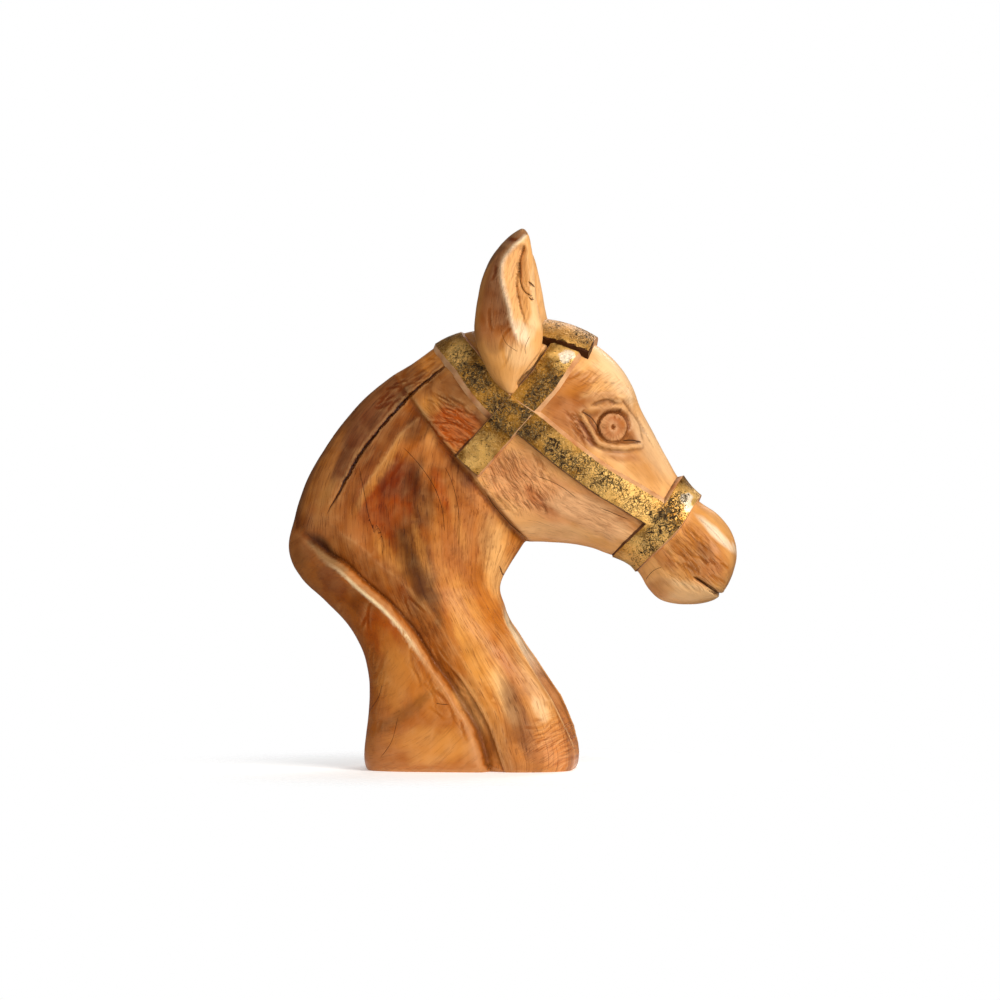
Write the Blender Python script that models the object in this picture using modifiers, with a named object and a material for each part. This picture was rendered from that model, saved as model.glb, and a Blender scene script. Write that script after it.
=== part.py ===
"""A horse's head and neck carved from one block of wood, with its bridle carved in relief.

The neck flares into its own foot, so the sculpture stands on the flat underside.
Frame: +X is where the horse looks, +Y its left side, +Z up. The origin is the middle of the
flat underside, on the surface that the sculpture stands on. Driving sizes are metres. The tables
of stations and carving lines are in millimetres of the side view, which shows x and z.

The neck, the head and the ears are lofts, fused into one skin. The carving then moves the skin's
points, alike on both sides, and the bands of the bridle are bars that lie on the wood.
"""
import math

import bmesh
import bpy
import numpy as np
from mathutils import Vector
from mathutils.bvhtree import BVHTree

MM = 0.001
TOTAL_HEIGHT = 0.366
TOTAL_LENGTH = 0.305
TOTAL_DEPTH = 0.100

VOXEL = 0.0016          # size of the cells that fuse neck, head and ears into one skin
SOLID_TRIANGLES = 7600  # of the carved wood, before the bridle joins it
RING_POINTS = 56        # points round a section of the neck or head
EAR_RING_POINTS = 24
RINGS_PER_STATION = 4   # rings between two stations of a loft

# Neck stations, from below the foot up: back of the neck (x, z), front (x, z), half width, how much
# of that width is left at the back and at the front, and how square the section is (2 is an
# ellipse). The first two lie below and at the cut of the base, to ease its edge.
NECK = (
    ((-64, -7), (62, -7), 42.0, 0.90, 0.84, 5.0),
    ((-69.5, -1), (68.5, -1), 47.0, 0.90, 0.84, 5.0),
    ((-72, 5), (71, 5), 49.4, 0.90, 0.84, 5.0),
    ((-72, 16), (71, 16), 50.0, 0.90, 0.84, 5.0),
    ((-70, 36), (67.5, 36), 49.0, 0.88, 0.82, 4.4),
    ((-69.5, 58), (58, 58), 46.5, 0.84, 0.80, 3.8),
    ((-74, 80), (44, 80), 44.0, 0.78, 0.76, 3.3),
    ((-85, 99), (31, 98), 42.0, 0.70, 0.72, 3.0),
    ((-101, 115.5), (22.5, 111), 40.5, 0.64, 0.70, 2.8),
    ((-118, 132), (18.5, 122), 39.0, 0.60, 0.68, 2.7),
    ((-126, 151), (20, 131), 38.0, 0.56, 0.66, 2.6),
    ((-122, 173), (25, 140), 37.0, 0.52, 0.64, 2.6),
    ((-113.5, 199), (31, 149), 36.5, 0.50, 0.62, 2.6),
    ((-99, 224), (37, 158), 36.2, 0.50, 0.60, 2.6),
    ((-80, 248.5), (44, 168), 35.2, 0.50, 0.58, 2.6),
    ((-58.5, 268), (52, 178), 31.0, 0.52, 0.50, 2.6),
    ((-38, 280.5), (56, 190), 26.0, 0.55, 0.50, 2.6),
)

# Head stations, from the cut behind the jaw to the lips: top (x, z), underside (x, z), half width,
# shares of it left at the top and underside, how square it is.
HEAD = (
    ((-52, 270.5), (38, 156), 36.5, 0.50, 0.66, 2.7),
    ((-16, 296), (51, 156), 39.0, 0.54, 0.64, 2.7),
    ((20, 304), (65, 155), 40.5, 0.62, 0.62, 2.7),
    ((51, 304), (75, 153.5), 40.0, 0.68, 0.60, 2.7),
    ((76, 296), (83, 151.5), 38.5, 0.72, 0.58, 2.8),
    ((96, 281.5), (90, 149), 37.0, 0.74, 0.56, 2.8),
    ((107.5, 265), (96, 147), 35.0, 0.74, 0.56, 2.8),
    ((114, 248), (101, 145), 32.5, 0.74, 0.58, 2.7),
    ((123, 231.5), (105, 143), 30.0, 0.74, 0.60, 2.6),
    ((131.5, 215), (108, 141), 27.5, 0.74, 0.64, 2.6),
    ((138.5, 202.5), (110.5, 138.5), 26.0, 0.76, 0.70, 2.5),
    ((146.5, 191.5), (114.5, 133), 25.5, 0.80, 0.76, 2.4),
    ((156, 183), (120, 124), 26.5, 0.84, 0.82, 2.3),
    ((166, 176), (128, 116.5), 28.0, 0.86, 0.86, 2.3),
    ((174, 167), (141, 113.5), 28.5, 0.88, 0.88, 2.3),
    ((179, 156), (154.5, 114), 27.0, 0.90, 0.90, 2.3),
    ((179.5, 145), (164, 116.5), 23.0, 0.92, 0.92, 2.2),
    ((177, 135), (170, 121), 16.0, 0.95, 0.95, 2.2),
)

# Ear stations, from the root up: back edge (x, z), front edge (x, z), middle (y), half thickness.
EAR = (
    ((27, 258), (32, 258), 38.5, 2.5),
    ((17, 268), (38, 268), 36.5, 7.0),
    ((8.5, 284), (48, 284), 33.5, 11.5),
    ((4.5, 300), (51.5, 300), 30.0, 13.5),
    ((5, 313), (49.5, 313), 27.5, 13.5),
    ((6.5, 325), (47, 325), 25.5, 12.5),
    ((9.5, 338), (44.5, 338), 23.0, 11.0),
    ((14.5, 349), (42, 349), 20.5, 9.0),
    ((21.5, 358), (40, 358), 18.0, 6.5),
    ((29.5, 366), (38.5, 366), 16.0, 3.8),
    ((35, 371.5), (37.2, 371.5), 15.0, 1.2),
)

# Lines carved on both sides, as points (x, z).
MANE_GROOVE = ((-13, 280.5), (-20.6, 274.7), (-38.6, 259.5), (-53, 244.3), (-65, 229.7),
               (-73.4, 218.7), (-80.7, 206.6), (-89, 190.8), (-98.7, 171.9))
SHOULDER_GROOVE = ((-116, 166), (-107, 158), (-96, 148.5), (-84, 141), (-70, 128.4), (-55, 116.3),
                   (-44.4, 105.4), (-33.6, 92.4), (-23, 76.2), (-12.2, 61), (-3.6, 46.8), (4, 35),
                   (9.3, 22), (14.6, 0), (16, -8))
SHOULDER_FACET = ((-30, 96), (-17, 79.4), (-1, 61), (12, 39.2), (18, 26.2), (26, 2), (28, -8))
JAW_LINE = ((-52, 270), (38, 156))
EAR_RIM = ((37.5, 366), (30, 358), (24.5, 349.9), (23, 340.5), (25.5, 328.7), (29, 317.1),
           (31.5, 305.3), (35, 294))
EAR_HOLLOW = ((37.5, 362), (35, 350), (33.8, 338.2), (34.2, 328.7), (36.6, 317.8), (39.5, 307.6),
              (41, 294))
MOUTH_LINE = ((151, 134), (156, 130.5), (163, 125.5), (171, 119.5))
NOSE_EDGE = ((150, 178), (160, 170), (170, 160), (180, 148))
BROW_LINE = ((72, 252), (80, 256), (92, 258), (104, 255), (113, 246))

# How deep the carving goes and how far it reaches, in millimetres.
SHOULDER_DEPTH = 9.0
CHEST_DEPTH, CHEST_HALF_WIDTH = 9.0, 29.0
CHEST_FOOT, CHEST_TOP = 18.0, 124.0
JAW_STEP, JAW_FADE, JAW_EDGE = 4.2, 16.0, 1.5
EAR_DEPTH, EAR_FRONT_REACH = 7.0, 10.5
EAR_RIM_HEIGHT, EAR_RIM_REACH = 1.0, 5.0
MOUTH_DEPTH, MOUTH_REACH = 3.0, 2.4

# The eye: its corners (x, z), the eyeball's middle and radius, and the lids round it.
EYE_REAR, EYE_FRONT = (77.2, 245.8), (116.5, 225.0)
EYE_MIDDLE = (98.4, 235.2)
EYEBALL = 9.4
EYEBALL_HEIGHT = 4.6
EYE_OPENING = 10.4      # half the height of the almond between the lids
EYE_SOCKET_DEPTH, EYE_OPENING_DEPTH = 2.6, 3.4
LID_WIDTH, LID_HEIGHT, LID_CREASE = 3.4, 1.4, 0.9
PUPIL, PUPIL_DEPTH = 1.6, 1.6

# The bridle: how wide and how proud of the wood its bands are, and how deep they reach into it.
# Each band over the top turns about a pivot (x, z), with its middle going through its top (x, z).
BAND_ROOT = 3.0
CHEEK_BAND = ((0, 278), (8.4, 266.5), (17.5, 255.9), (26.5, 247.5), (41.1, 237.6), (53.1, 227.9),
              (68.5, 215.3), (90, 199.3), (107.1, 188.7), (128, 175.5))
CHEEK_BAND_WIDTH, CHEEK_BAND_HEIGHT, POLL_BAND_HEIGHT = 19.0, 3.4, 1.8
POLL_PIVOT, POLL_TOP = (-1, 279.5), (-13.2, 292.6)
BROW_BAND = ((-0.5, 208.4), (24.5, 236.5), (50, 265.5))
BROW_BAND_WIDTH, BROW_BAND_HEIGHT = 20.0, 2.9
BROW_PIVOT, BROW_TOP = (52, 268), (72, 301)
FOREHEAD_BAND_WIDTH, FOREHEAD_BAND_HEIGHT = 37.0, 5.6
FOREHEAD_PIVOT, FOREHEAD_TOP = (55, 268), (67.7, 303.5)
FOREHEAD_BAND_TURN = 48  # degrees to each side of the top
NOSE_BAND_WIDTH, NOSE_BAND_HEIGHT, CHIN_BAND_HEIGHT = 18.0, 5.4, 1.2
NOSE_PIVOT, NOSE_TOP = (129, 169), (147.5, 193)
BAND_COLUMNS = (-0.5, -0.17, 0.17, 0.5)  # shares of a band's width where its points lie
RAY_LENGTH = 150.0       # a ray towards the wood starts this far out
NOSE_RAY_LENGTH = 60.0   # short of the chest, for the band that goes under the jaw

WOOD_COLOUR = (0.46, 0.24, 0.10, 1)
WOOD_ROUGHNESS = 0.38
SHARP_ANGLE = math.radians(38)


def clear_scene():
    for existing in list(bpy.data.objects):
        bpy.data.objects.remove(existing)


def add_object(name, mesh, collection):
    made = bpy.data.objects.new(name, mesh)
    collection.objects.link(made)
    return made


def smooth_rows(rows, steps):
    """Rows of numbers read off a Catmull-Rom curve through the given rows, `steps` to each gap."""
    rows = np.array(rows, float)
    ends = np.vstack([2 * rows[0] - rows[1], rows, 2 * rows[-1] - rows[-2]])
    out = []
    for i in range(len(rows) - 1):
        a, b, c, d = ends[i:i + 4]
        for t in np.arange(steps) / steps:
            out.append(0.5 * (2 * b + (c - a) * t + (2 * a - 5 * b + 4 * c - d) * t**2
                              + (3 * b - a - 3 * c + d) * t**3))
    out.append(rows[-1])
    return np.array(out)


def flat_rows(stations):
    return [[n for part in station for n in (part if isinstance(part, tuple) else (part,))]
            for station in stations]


def signed_power(values, exponent):
    return np.sign(values) * np.abs(values) ** exponent


def smoothstep(value):
    value = np.clip(value, 0, 1)
    return value * value * (3 - 2 * value)


def body_ring(row):
    """Points round a section of the neck or head: a rounded slab in the plane of its chord and Y."""
    upper, lower = row[0:2], row[2:4]
    half_width, upper_share, lower_share, square = row[4:8]
    turn = np.arange(RING_POINTS) * 2 * math.pi / RING_POINTS
    along = -signed_power(np.cos(turn), 2 / square)
    across = signed_power(np.sin(turn), 2 / square)
    end_share = np.where(along < 0, upper_share, lower_share)
    width = half_width * (1 - (1 - end_share) * along**2)
    flat = (upper + lower) / 2 + along[:, None] * (lower - upper) / 2
    return np.stack([flat[:, 0], across * width, flat[:, 1]], 1) * MM


def ear_ring(row, side):
    """Points round one section of an ear."""
    back, front = row[0:2], row[2:4]
    middle_y, half_thickness = row[4:6]
    turn = np.arange(EAR_RING_POINTS) * 2 * math.pi / EAR_RING_POINTS
    flat = (back + front) / 2 + np.cos(turn)[:, None] * (back - front) / 2
    y = side * (middle_y - half_thickness * np.sin(turn))
    return np.stack([flat[:, 0], y, flat[:, 1]], 1) * MM


def close_rings(shape, rings, closed):
    """Faces between rings of vertices, with a flat cap on each end unless the rings close a loop."""
    following = rings[1:] + rings[:1] if closed else rings[1:]
    for low, high in zip(rings, following):
        for i, vertex in enumerate(low):
            j = (i + 1) % len(low)
            shape.faces.new((vertex, low[j], high[j], high[i]))
    if not closed:
        shape.faces.new(reversed(rings[0]))
        shape.faces.new(rings[-1])
    bmesh.ops.recalc_face_normals(shape, faces=shape.faces)


def loft(name, rings, collection, closed=False):
    """A closed skin through rings of points."""
    shape = bmesh.new()
    rows = [[shape.verts.new(point) for point in ring] for ring in rings]
    close_rings(shape, rows, closed)
    mesh = bpy.data.meshes.new(name)
    shape.to_mesh(mesh)
    shape.free()
    return add_object(name, mesh, collection)


def build_body(name, stations, collection):
    rows = smooth_rows(flat_rows(stations), RINGS_PER_STATION)
    return loft(name, [body_ring(row) for row in rows], collection)


def build_ear(side, collection):
    rows = smooth_rows(flat_rows(EAR), RINGS_PER_STATION)
    return loft(f"ear_{side}", [ear_ring(row, side) for row in rows], collection)


def evaluated_mesh(item):
    """What the object's modifiers make of its mesh."""
    graph = bpy.context.evaluated_depsgraph_get()
    return bpy.data.meshes.new_from_object(item.evaluated_get(graph))


def fused_skin(pieces):
    """One closed skin round overlapping pieces, which it uses up."""
    bpy.ops.object.select_all(action="DESELECT")
    for piece in pieces:
        piece.select_set(True)
    bpy.context.view_layer.objects.active = pieces[0]
    bpy.ops.object.join()
    whole = pieces[0]
    remesh = whole.modifiers.new("fuse", "REMESH")
    remesh.mode = "VOXEL"
    remesh.voxel_size = VOXEL
    smooth = whole.modifiers.new("even", "SMOOTH")
    smooth.factor = 0.5
    smooth.iterations = 3
    mesh = evaluated_mesh(whole)
    bpy.data.objects.remove(whole)
    return mesh


def path_reading(points, x, z):
    """How far each (x, z) is from a smooth line, on which side of it, and how far along it (0 to 1)."""
    line = smooth_rows(points, 8)
    start, run = line[:-1], np.diff(line, axis=0)
    length = np.hypot(run[:, 0], run[:, 1])
    begun = np.concatenate([[0], np.cumsum(length)])
    best = np.full(len(x), np.inf)
    side = np.zeros(len(x))
    along = np.zeros(len(x))
    for (sx, sz), (rx, rz), span, before in zip(start, run, length, begun):
        t = np.clip(((x - sx) * rx + (z - sz) * rz) / span**2, 0, 1)
        dx, dz = x - sx - t * rx, z - sz - t * rz
        away = np.hypot(dx, dz)
        nearer = away < best
        best = np.where(nearer, away, best)
        side = np.where(nearer, np.sign(rx * dz - rz * dx), side)
        along = np.where(nearer, (before + t * span) / begun[-1], along)
    return best, side, along


class Skin:
    """The surface being carved: its points in millimetres, read as the side view (x, z) and |y|."""

    def __init__(self, mesh):
        self.mesh = mesh
        points = np.empty(len(mesh.vertices) * 3, np.float32)
        mesh.vertices.foreach_get("co", points)
        self.points = points.reshape(-1, 3).astype(float) / MM
        self.refresh()

    def refresh(self):
        """Writes the points to the mesh and reads its normals again."""
        self.mesh.vertices.foreach_set("co", (self.points * MM).astype(np.float32).ravel())
        self.mesh.update()
        normals = np.empty(len(self.points) * 3, np.float32)
        self.mesh.vertex_normals.foreach_get("vector", normals)
        self.normals = normals.reshape(-1, 3).astype(float)
        self.x, self.z = self.points[:, 0], self.points[:, 2]
        self.depth = np.abs(self.points[:, 1])
        self.outward = self.normals[:, 1] * np.where(self.points[:, 1] < 0, -1.0, 1.0)

    def cut(self, amount, direction=None):
        """Moves each point inwards by millimetres, against its normal or in a given direction."""
        inwards = -self.normals if direction is None else np.array(direction)[None, :]
        self.points += inwards * amount[:, None]
        self.refresh()

    def facing_side(self, least=0.05, blend=0.3):
        """1 where the surface faces out to its side, 0 where it faces the middle or along it."""
        return smoothstep((self.outward - least) / blend)

    def groove(self, line, depth, left, right, ends=(0.12, 0.12), power=1.4):
        """A V groove on both sides, with its own reach to the left and right of its line.

        The ends are the shares of its length over which it fades out. A negative depth is a ridge.
        """
        away, side, along = path_reading(line, self.x, self.z)
        reach = np.where(side > 0, left, right)
        taper = smoothstep(along / ends[0]) * smoothstep((1 - along) / ends[1])
        self.cut(depth * taper * np.clip(1 - away / reach, 0, 1) ** power * self.facing_side())


def carve_neck(skin):
    """The groove round the shoulder, the facet before it, the mane's groove, and the chest."""
    skin.groove(SHOULDER_GROOVE, depth=SHOULDER_DEPTH, left=11, right=12, ends=(0.10, 0.01), power=1.25)
    skin.groove(SHOULDER_FACET, depth=2.2, left=7, right=9, ends=(0.25, 0.01))
    skin.groove(MANE_GROOVE, depth=3.2, left=3.2, right=2.8, ends=(0.12, 0.25))
    front = smoothstep((skin.normals[:, 0] - 0.1) / 0.5) * smoothstep((skin.x + 5) / 15) * (skin.x < 85)
    height = smoothstep((skin.z - CHEST_FOOT) / 22) * smoothstep((CHEST_TOP - skin.z) / 26)
    valley = np.clip(1 - skin.depth / CHEST_HALF_WIDTH, 0, 1) ** 1.2
    skin.cut(CHEST_DEPTH * front * height * valley, (-1, 0, 0))


def carve_jaw(skin):
    """The step from the cheek down to the neck, behind the jaw, which dies out towards the crest."""
    away, side, along = path_reading(JAW_LINE, skin.x, skin.z)
    reach = np.where(side < 0, JAW_FADE, JAW_EDGE)
    low = smoothstep((along - 0.42) / 0.3)
    skin.cut(JAW_STEP * np.clip(1 - away / reach, 0, 1) ** 1.3 * low * skin.facing_side())


def carve_eye(skin):
    """A socket, an almond opening with lids standing round it, and the eyeball with a drilled pupil."""
    rear, front = np.array(EYE_REAR), np.array(EYE_FRONT)
    half = np.hypot(*(front - rear)) / 2
    long_way = (front - rear) / (2 * half)
    from_middle = np.stack([skin.x, skin.z], 1) - (rear + front) / 2
    along = from_middle @ long_way
    across = from_middle @ np.array([-long_way[1], long_way[0]])
    socket = smoothstep(1.35 - np.hypot(along / (half * 1.25), across / (EYE_OPENING * 1.9)))
    outside = np.abs(across) - EYE_OPENING * np.clip(1 - (along / half) ** 2, 0, 1)
    opening = smoothstep(0.5 - outside / 1.6) * (np.abs(along) < half)
    lid_ends = smoothstep((half + 4 - np.abs(along)) / 6)
    lid = smoothstep((outside + 0.6) / 1.0) * smoothstep((LID_WIDTH + 1.2 - outside) / 1.6) * lid_ends
    crease = np.clip(1 - np.abs(outside - LID_WIDTH - 2.0) / 1.6, 0, 1) * lid_ends
    reach = np.hypot(skin.x - EYE_MIDDLE[0], skin.z - EYE_MIDDLE[1])
    ball = np.clip(1 - (reach / EYEBALL) ** 2, 0, 1) ** 0.35 * opening
    pupil = smoothstep((PUPIL + 0.6 - reach) / 1.2)
    cut_in = EYE_SOCKET_DEPTH * socket + EYE_OPENING_DEPTH * opening + LID_CREASE * crease
    stand_out = LID_HEIGHT * lid + EYEBALL_HEIGHT * ball - PUPIL_DEPTH * pupil
    near = (skin.depth > 15) & (half * 2 > np.abs(along)) & (half * 2 > np.abs(across))
    skin.cut((cut_in - stand_out) * skin.facing_side(0.2, 0.3) * near)


def carve_face(skin):
    """The brow over the eye, the edge of the nose's flat, and the mouth, which meets in front."""
    skin.groove(BROW_LINE, depth=-2.6, left=8, right=7, ends=(0.3, 0.3), power=1.0)
    skin.groove(NOSE_EDGE, depth=1.6, left=9, right=6, ends=(0.25, 0.25))
    skin.groove(MOUTH_LINE, depth=MOUTH_DEPTH, left=MOUTH_REACH, right=MOUTH_REACH, ends=(0.25, 0.05))
    lips = smoothstep((skin.normals[:, 0] - 0.3) / 0.3) * (skin.x > 160)
    front_x, front_z = MOUTH_LINE[-1]
    from_mouth = np.abs(skin.z - front_z - (front_x - skin.x) * 0.4)
    skin.cut(MOUTH_DEPTH * 0.7 * lips * np.clip(1 - from_mouth / MOUTH_REACH, 0, 1))


def carve_ears(skin):
    """The hollow that opens to the side and front of each ear, falling steeply from its rear rim."""
    from_rim, rim_side, _ = path_reading(EAR_RIM, skin.x, skin.z)
    away, side, along = path_reading(EAR_HOLLOW, skin.x, skin.z)
    behind = np.where(rim_side > 0, from_rim / (from_rim + away + 1e-6), 0)
    ahead = np.clip(1 - away / EAR_FRONT_REACH, 0, 1)
    hollow = np.where(side > 0, ahead, smoothstep(behind * 1.1))
    rim = np.clip(1 - from_rim / EAR_RIM_REACH, 0, 1) * (rim_side <= 0)
    taper = smoothstep(along / 0.14) * smoothstep((1 - along) / 0.5)
    outer = skin.facing_side(0.0, 0.3) * smoothstep((skin.depth - 8) / 4) * (skin.z > EAR_HOLLOW[-1][1] - 9)
    skin.cut((EAR_DEPTH * hollow - EAR_RIM_HEIGHT * rim) * taper * outer)


def surface_of(pieces):
    """A search tree over several meshes, whose outermost surface the bands lie on."""
    points, faces = [], []
    for piece in pieces:
        first = len(points)
        points += [vertex.co.copy() for vertex in piece.data.vertices]
        faces += [[first + i for i in face.vertices] for face in piece.data.polygons]
    return BVHTree.FromPolygons(points, faces)


def side_rays(path, steps):
    """Stops along a band on the right side: where it is, which way it faces, which way is across."""
    line = smooth_rows(path, steps)
    run = np.gradient(line, axis=0)
    run /= np.hypot(run[:, 0], run[:, 1])[:, None]
    return [(point, (0.0, -1.0, 0.0), (-way[1], way[0])) for point, way in zip(line, run)]


def fan_rays(pivot, top, steps, half_turn=90):
    """Stops along a band that goes over the top, from the right side to the left."""
    pivot = np.array(pivot, float)
    up = (np.array(top) - pivot) / np.hypot(*(np.array(top) - pivot))
    turns = np.radians(np.linspace(-half_turn, half_turn, steps))
    return [(pivot, (math.cos(turn) * up[0], math.sin(turn), math.cos(turn) * up[1]), (-up[1], up[0]))
            for turn in turns]


def over_the_top(path, steps, fan):
    """A band that comes up the right side, goes over by the fan's stops, and down the left."""
    right = side_rays(path, steps)
    left = [(point, (0.0, 1.0, 0.0), across) for point, _, across in reversed(right)]
    return right + fan + left


def band(name, surface, stops, width, height, collection, closed=False, ray_length=RAY_LENGTH):
    """A bar that lies on the surface at the stops, part of it above the wood and part in it.

    The height is a function of how far along the band it is, from 0 to 1, and 0.5 is the top.
    """
    rings = []
    for i, (point, facing, across) in enumerate(stops):
        facing = Vector(facing)
        outer, inner = [], []
        for share in BAND_COLUMNS:
            aside = share * width
            start = Vector((point[0] + across[0] * aside, 0, point[1] + across[1] * aside))
            hit = surface.ray_cast((start + facing * ray_length) * MM, -facing)[0] / MM
            outer.append((hit + facing * height(i / (len(stops) - 1))) * MM)
            inner.append((hit - facing * BAND_ROOT) * MM)
        rings.append(outer + inner[::-1])
    made = loft(name, rings, collection, closed)
    shape = bmesh.new()
    shape.from_mesh(made.data)
    bmesh.ops.triangulate(shape, faces=shape.faces)
    shape.to_mesh(made.data)
    shape.free()
    return made


def cheek_height(along):
    over_poll = smoothstep(1 - abs(along - 0.5) / 0.08)
    return CHEEK_BAND_HEIGHT + (POLL_BAND_HEIGHT - CHEEK_BAND_HEIGHT) * over_poll


def nose_height(along):
    over_nose = smoothstep(1.25 - abs(along - 0.5) / 0.4)
    return CHIN_BAND_HEIGHT + (NOSE_BAND_HEIGHT - CHIN_BAND_HEIGHT) * over_nose


def build_bridle(surface, collection):
    """The cheek band over the poll, the brow band, the slab on the forehead, the band round the nose."""
    cheek = over_the_top(CHEEK_BAND[::-1], 3, fan_rays(POLL_PIVOT, POLL_TOP, 9))
    brow = over_the_top(BROW_BAND, 5, fan_rays(BROW_PIVOT, BROW_TOP, 11))
    forehead = fan_rays(FOREHEAD_PIVOT, FOREHEAD_TOP, 9, FOREHEAD_BAND_TURN)
    nose = fan_rays(NOSE_PIVOT, NOSE_TOP, 33, 180)[:-1]
    return [
        band("brow_band", surface, brow, BROW_BAND_WIDTH, lambda t: BROW_BAND_HEIGHT, collection),
        band("forehead_band", surface, forehead, FOREHEAD_BAND_WIDTH,
             lambda t: FOREHEAD_BAND_HEIGHT, collection),
        band("cheek_band", surface, cheek, CHEEK_BAND_WIDTH, cheek_height, collection),
        band("nose_band", surface, nose, NOSE_BAND_WIDTH, nose_height, collection,
             closed=True, ray_length=NOSE_RAY_LENGTH),
    ]


def cut_flat_base(mesh):
    """Cuts the foot off at z = 0 and closes it with a flat face."""
    shape = bmesh.new()
    shape.from_mesh(mesh)
    everything = shape.verts[:] + shape.edges[:] + shape.faces[:]
    cut = bmesh.ops.bisect_plane(shape, geom=everything, plane_co=(0, 0, 0), plane_no=(0, 0, 1),
                                 clear_inner=True)
    rim = [item for item in cut["geom_cut"] if isinstance(item, bmesh.types.BMEdge)]
    bmesh.ops.contextual_create(shape, geom=rim)
    bmesh.ops.triangulate(shape, faces=[face for face in shape.faces if len(face.verts) > 4])
    bmesh.ops.recalc_face_normals(shape, faces=shape.faces)
    shape.to_mesh(mesh)
    shape.free()


def fit_to_size(mesh):
    """Scales the mesh to the total sizes, stands it on z = 0 and centres its foot on the origin."""
    points = np.empty(len(mesh.vertices) * 3, np.float32)
    mesh.vertices.foreach_get("co", points)
    points = points.reshape(-1, 3).astype(float)
    points *= np.array([TOTAL_LENGTH, TOTAL_DEPTH, TOTAL_HEIGHT]) / np.ptp(points, axis=0)
    points[:, 2] -= points[:, 2].min()
    points[:, 1] -= (points[:, 1].max() + points[:, 1].min()) / 2
    foot = points[points[:, 2] < 1e-5]
    points[:, 0] -= (foot[:, 0].max() + foot[:, 0].min()) / 2
    mesh.vertices.foreach_set("co", points.astype(np.float32).ravel())
    mesh.update()


def wood_material():
    wood = bpy.data.materials.new("lacquered_wood")
    wood.use_nodes = True
    shader = wood.node_tree.nodes["Principled BSDF"]
    shader.inputs["Base Color"].default_value = WOOD_COLOUR
    shader.inputs["Roughness"].default_value = WOOD_ROUGHNESS
    shader.inputs["Metallic"].default_value = 0.0
    return wood


def carved_wood(blocks):
    """The mesh of the neck, head and ears in one, carved, with a flat base."""
    skin = Skin(fused_skin(blocks))
    carve_jaw(skin)
    carve_neck(skin)
    carve_ears(skin)
    carve_face(skin)
    carve_eye(skin)
    cut_flat_base(skin.mesh)
    return skin.mesh


def main():
    clear_scene()
    collection = bpy.data.collections.new("horse_head_sculpture")
    bpy.context.scene.collection.children.link(collection)
    blocks = [build_body("neck", NECK, collection), build_body("head", HEAD, collection)]
    bridle = build_bridle(surface_of(blocks), collection)
    blocks += [build_ear(side, collection) for side in (-1, 1)]
    horse = add_object("horse_head", carved_wood(blocks), collection)
    horse.data.materials.append(wood_material())
    fewer = horse.modifiers.new("fewer_faces", "DECIMATE")
    fewer.ratio = SOLID_TRIANGLES / sum(len(face.vertices) - 2 for face in horse.data.polygons)
    for item in bridle:
        union = horse.modifiers.new(item.name, "BOOLEAN")
        union.operation = "UNION"
        union.object = item
    mesh = evaluated_mesh(horse)
    horse.modifiers.clear()
    horse.data = mesh
    for item in bridle:
        bpy.data.objects.remove(item)
    fit_to_size(mesh)
    mesh.shade_smooth()
    mesh.set_sharp_from_angle(angle=SHARP_ANGLE)


main()
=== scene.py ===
"""The carved and gilded horse head, dressed: one finely carved wooden piece and four gilded bands.

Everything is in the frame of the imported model: +X is where the horse looks, +Z up, metres. The
tables of stations and carving lines are in millimetres of the side view, which shows x and z, and
fit_to_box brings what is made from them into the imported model's box.
"""

import itertools
import math

import bmesh
import bpy
import numpy as np
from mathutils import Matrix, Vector
from mathutils.bvhtree import BVHTree


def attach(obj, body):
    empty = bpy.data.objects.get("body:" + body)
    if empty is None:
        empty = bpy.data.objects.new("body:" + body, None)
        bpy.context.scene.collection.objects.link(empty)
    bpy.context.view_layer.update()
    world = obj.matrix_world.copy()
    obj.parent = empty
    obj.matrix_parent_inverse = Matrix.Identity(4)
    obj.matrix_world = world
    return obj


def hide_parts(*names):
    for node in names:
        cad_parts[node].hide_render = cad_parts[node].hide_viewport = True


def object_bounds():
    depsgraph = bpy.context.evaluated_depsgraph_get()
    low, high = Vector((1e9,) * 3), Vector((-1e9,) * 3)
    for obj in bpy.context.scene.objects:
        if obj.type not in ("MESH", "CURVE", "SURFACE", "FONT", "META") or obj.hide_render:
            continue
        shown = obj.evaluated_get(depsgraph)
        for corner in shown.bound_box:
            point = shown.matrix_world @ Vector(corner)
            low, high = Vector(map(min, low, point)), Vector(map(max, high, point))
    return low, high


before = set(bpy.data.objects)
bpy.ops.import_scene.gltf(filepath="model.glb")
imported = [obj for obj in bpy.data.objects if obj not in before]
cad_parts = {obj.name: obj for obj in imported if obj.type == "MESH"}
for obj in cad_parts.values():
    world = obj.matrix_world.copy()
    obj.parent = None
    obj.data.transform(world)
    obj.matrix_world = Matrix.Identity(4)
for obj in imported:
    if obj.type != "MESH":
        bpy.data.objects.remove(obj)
CAD_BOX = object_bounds()

MM = 0.001
VOXEL = 0.0011           # size of the cells that fuse neck, head and ears into one skin
SMOOTHING_STEPS = 6      # of that skin, before it is carved
WOOD_TRIANGLES = 190000  # of the carved wood, once its faces are thinned out
RING_POINTS = 96         # points round a section of the neck or head
EAR_RING_POINTS = 48
RINGS_PER_STATION = 8    # rings between two stations of a loft
FACING_BLEND = 0.3       # how much further a surface turns between counting not at all and fully
TINY = 1e-6              # keeps a division from failing
LEFT_STAINS, LEFT_WEAR = 0.65, 0.7    # the left side is plainer than the right by these shares

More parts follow.
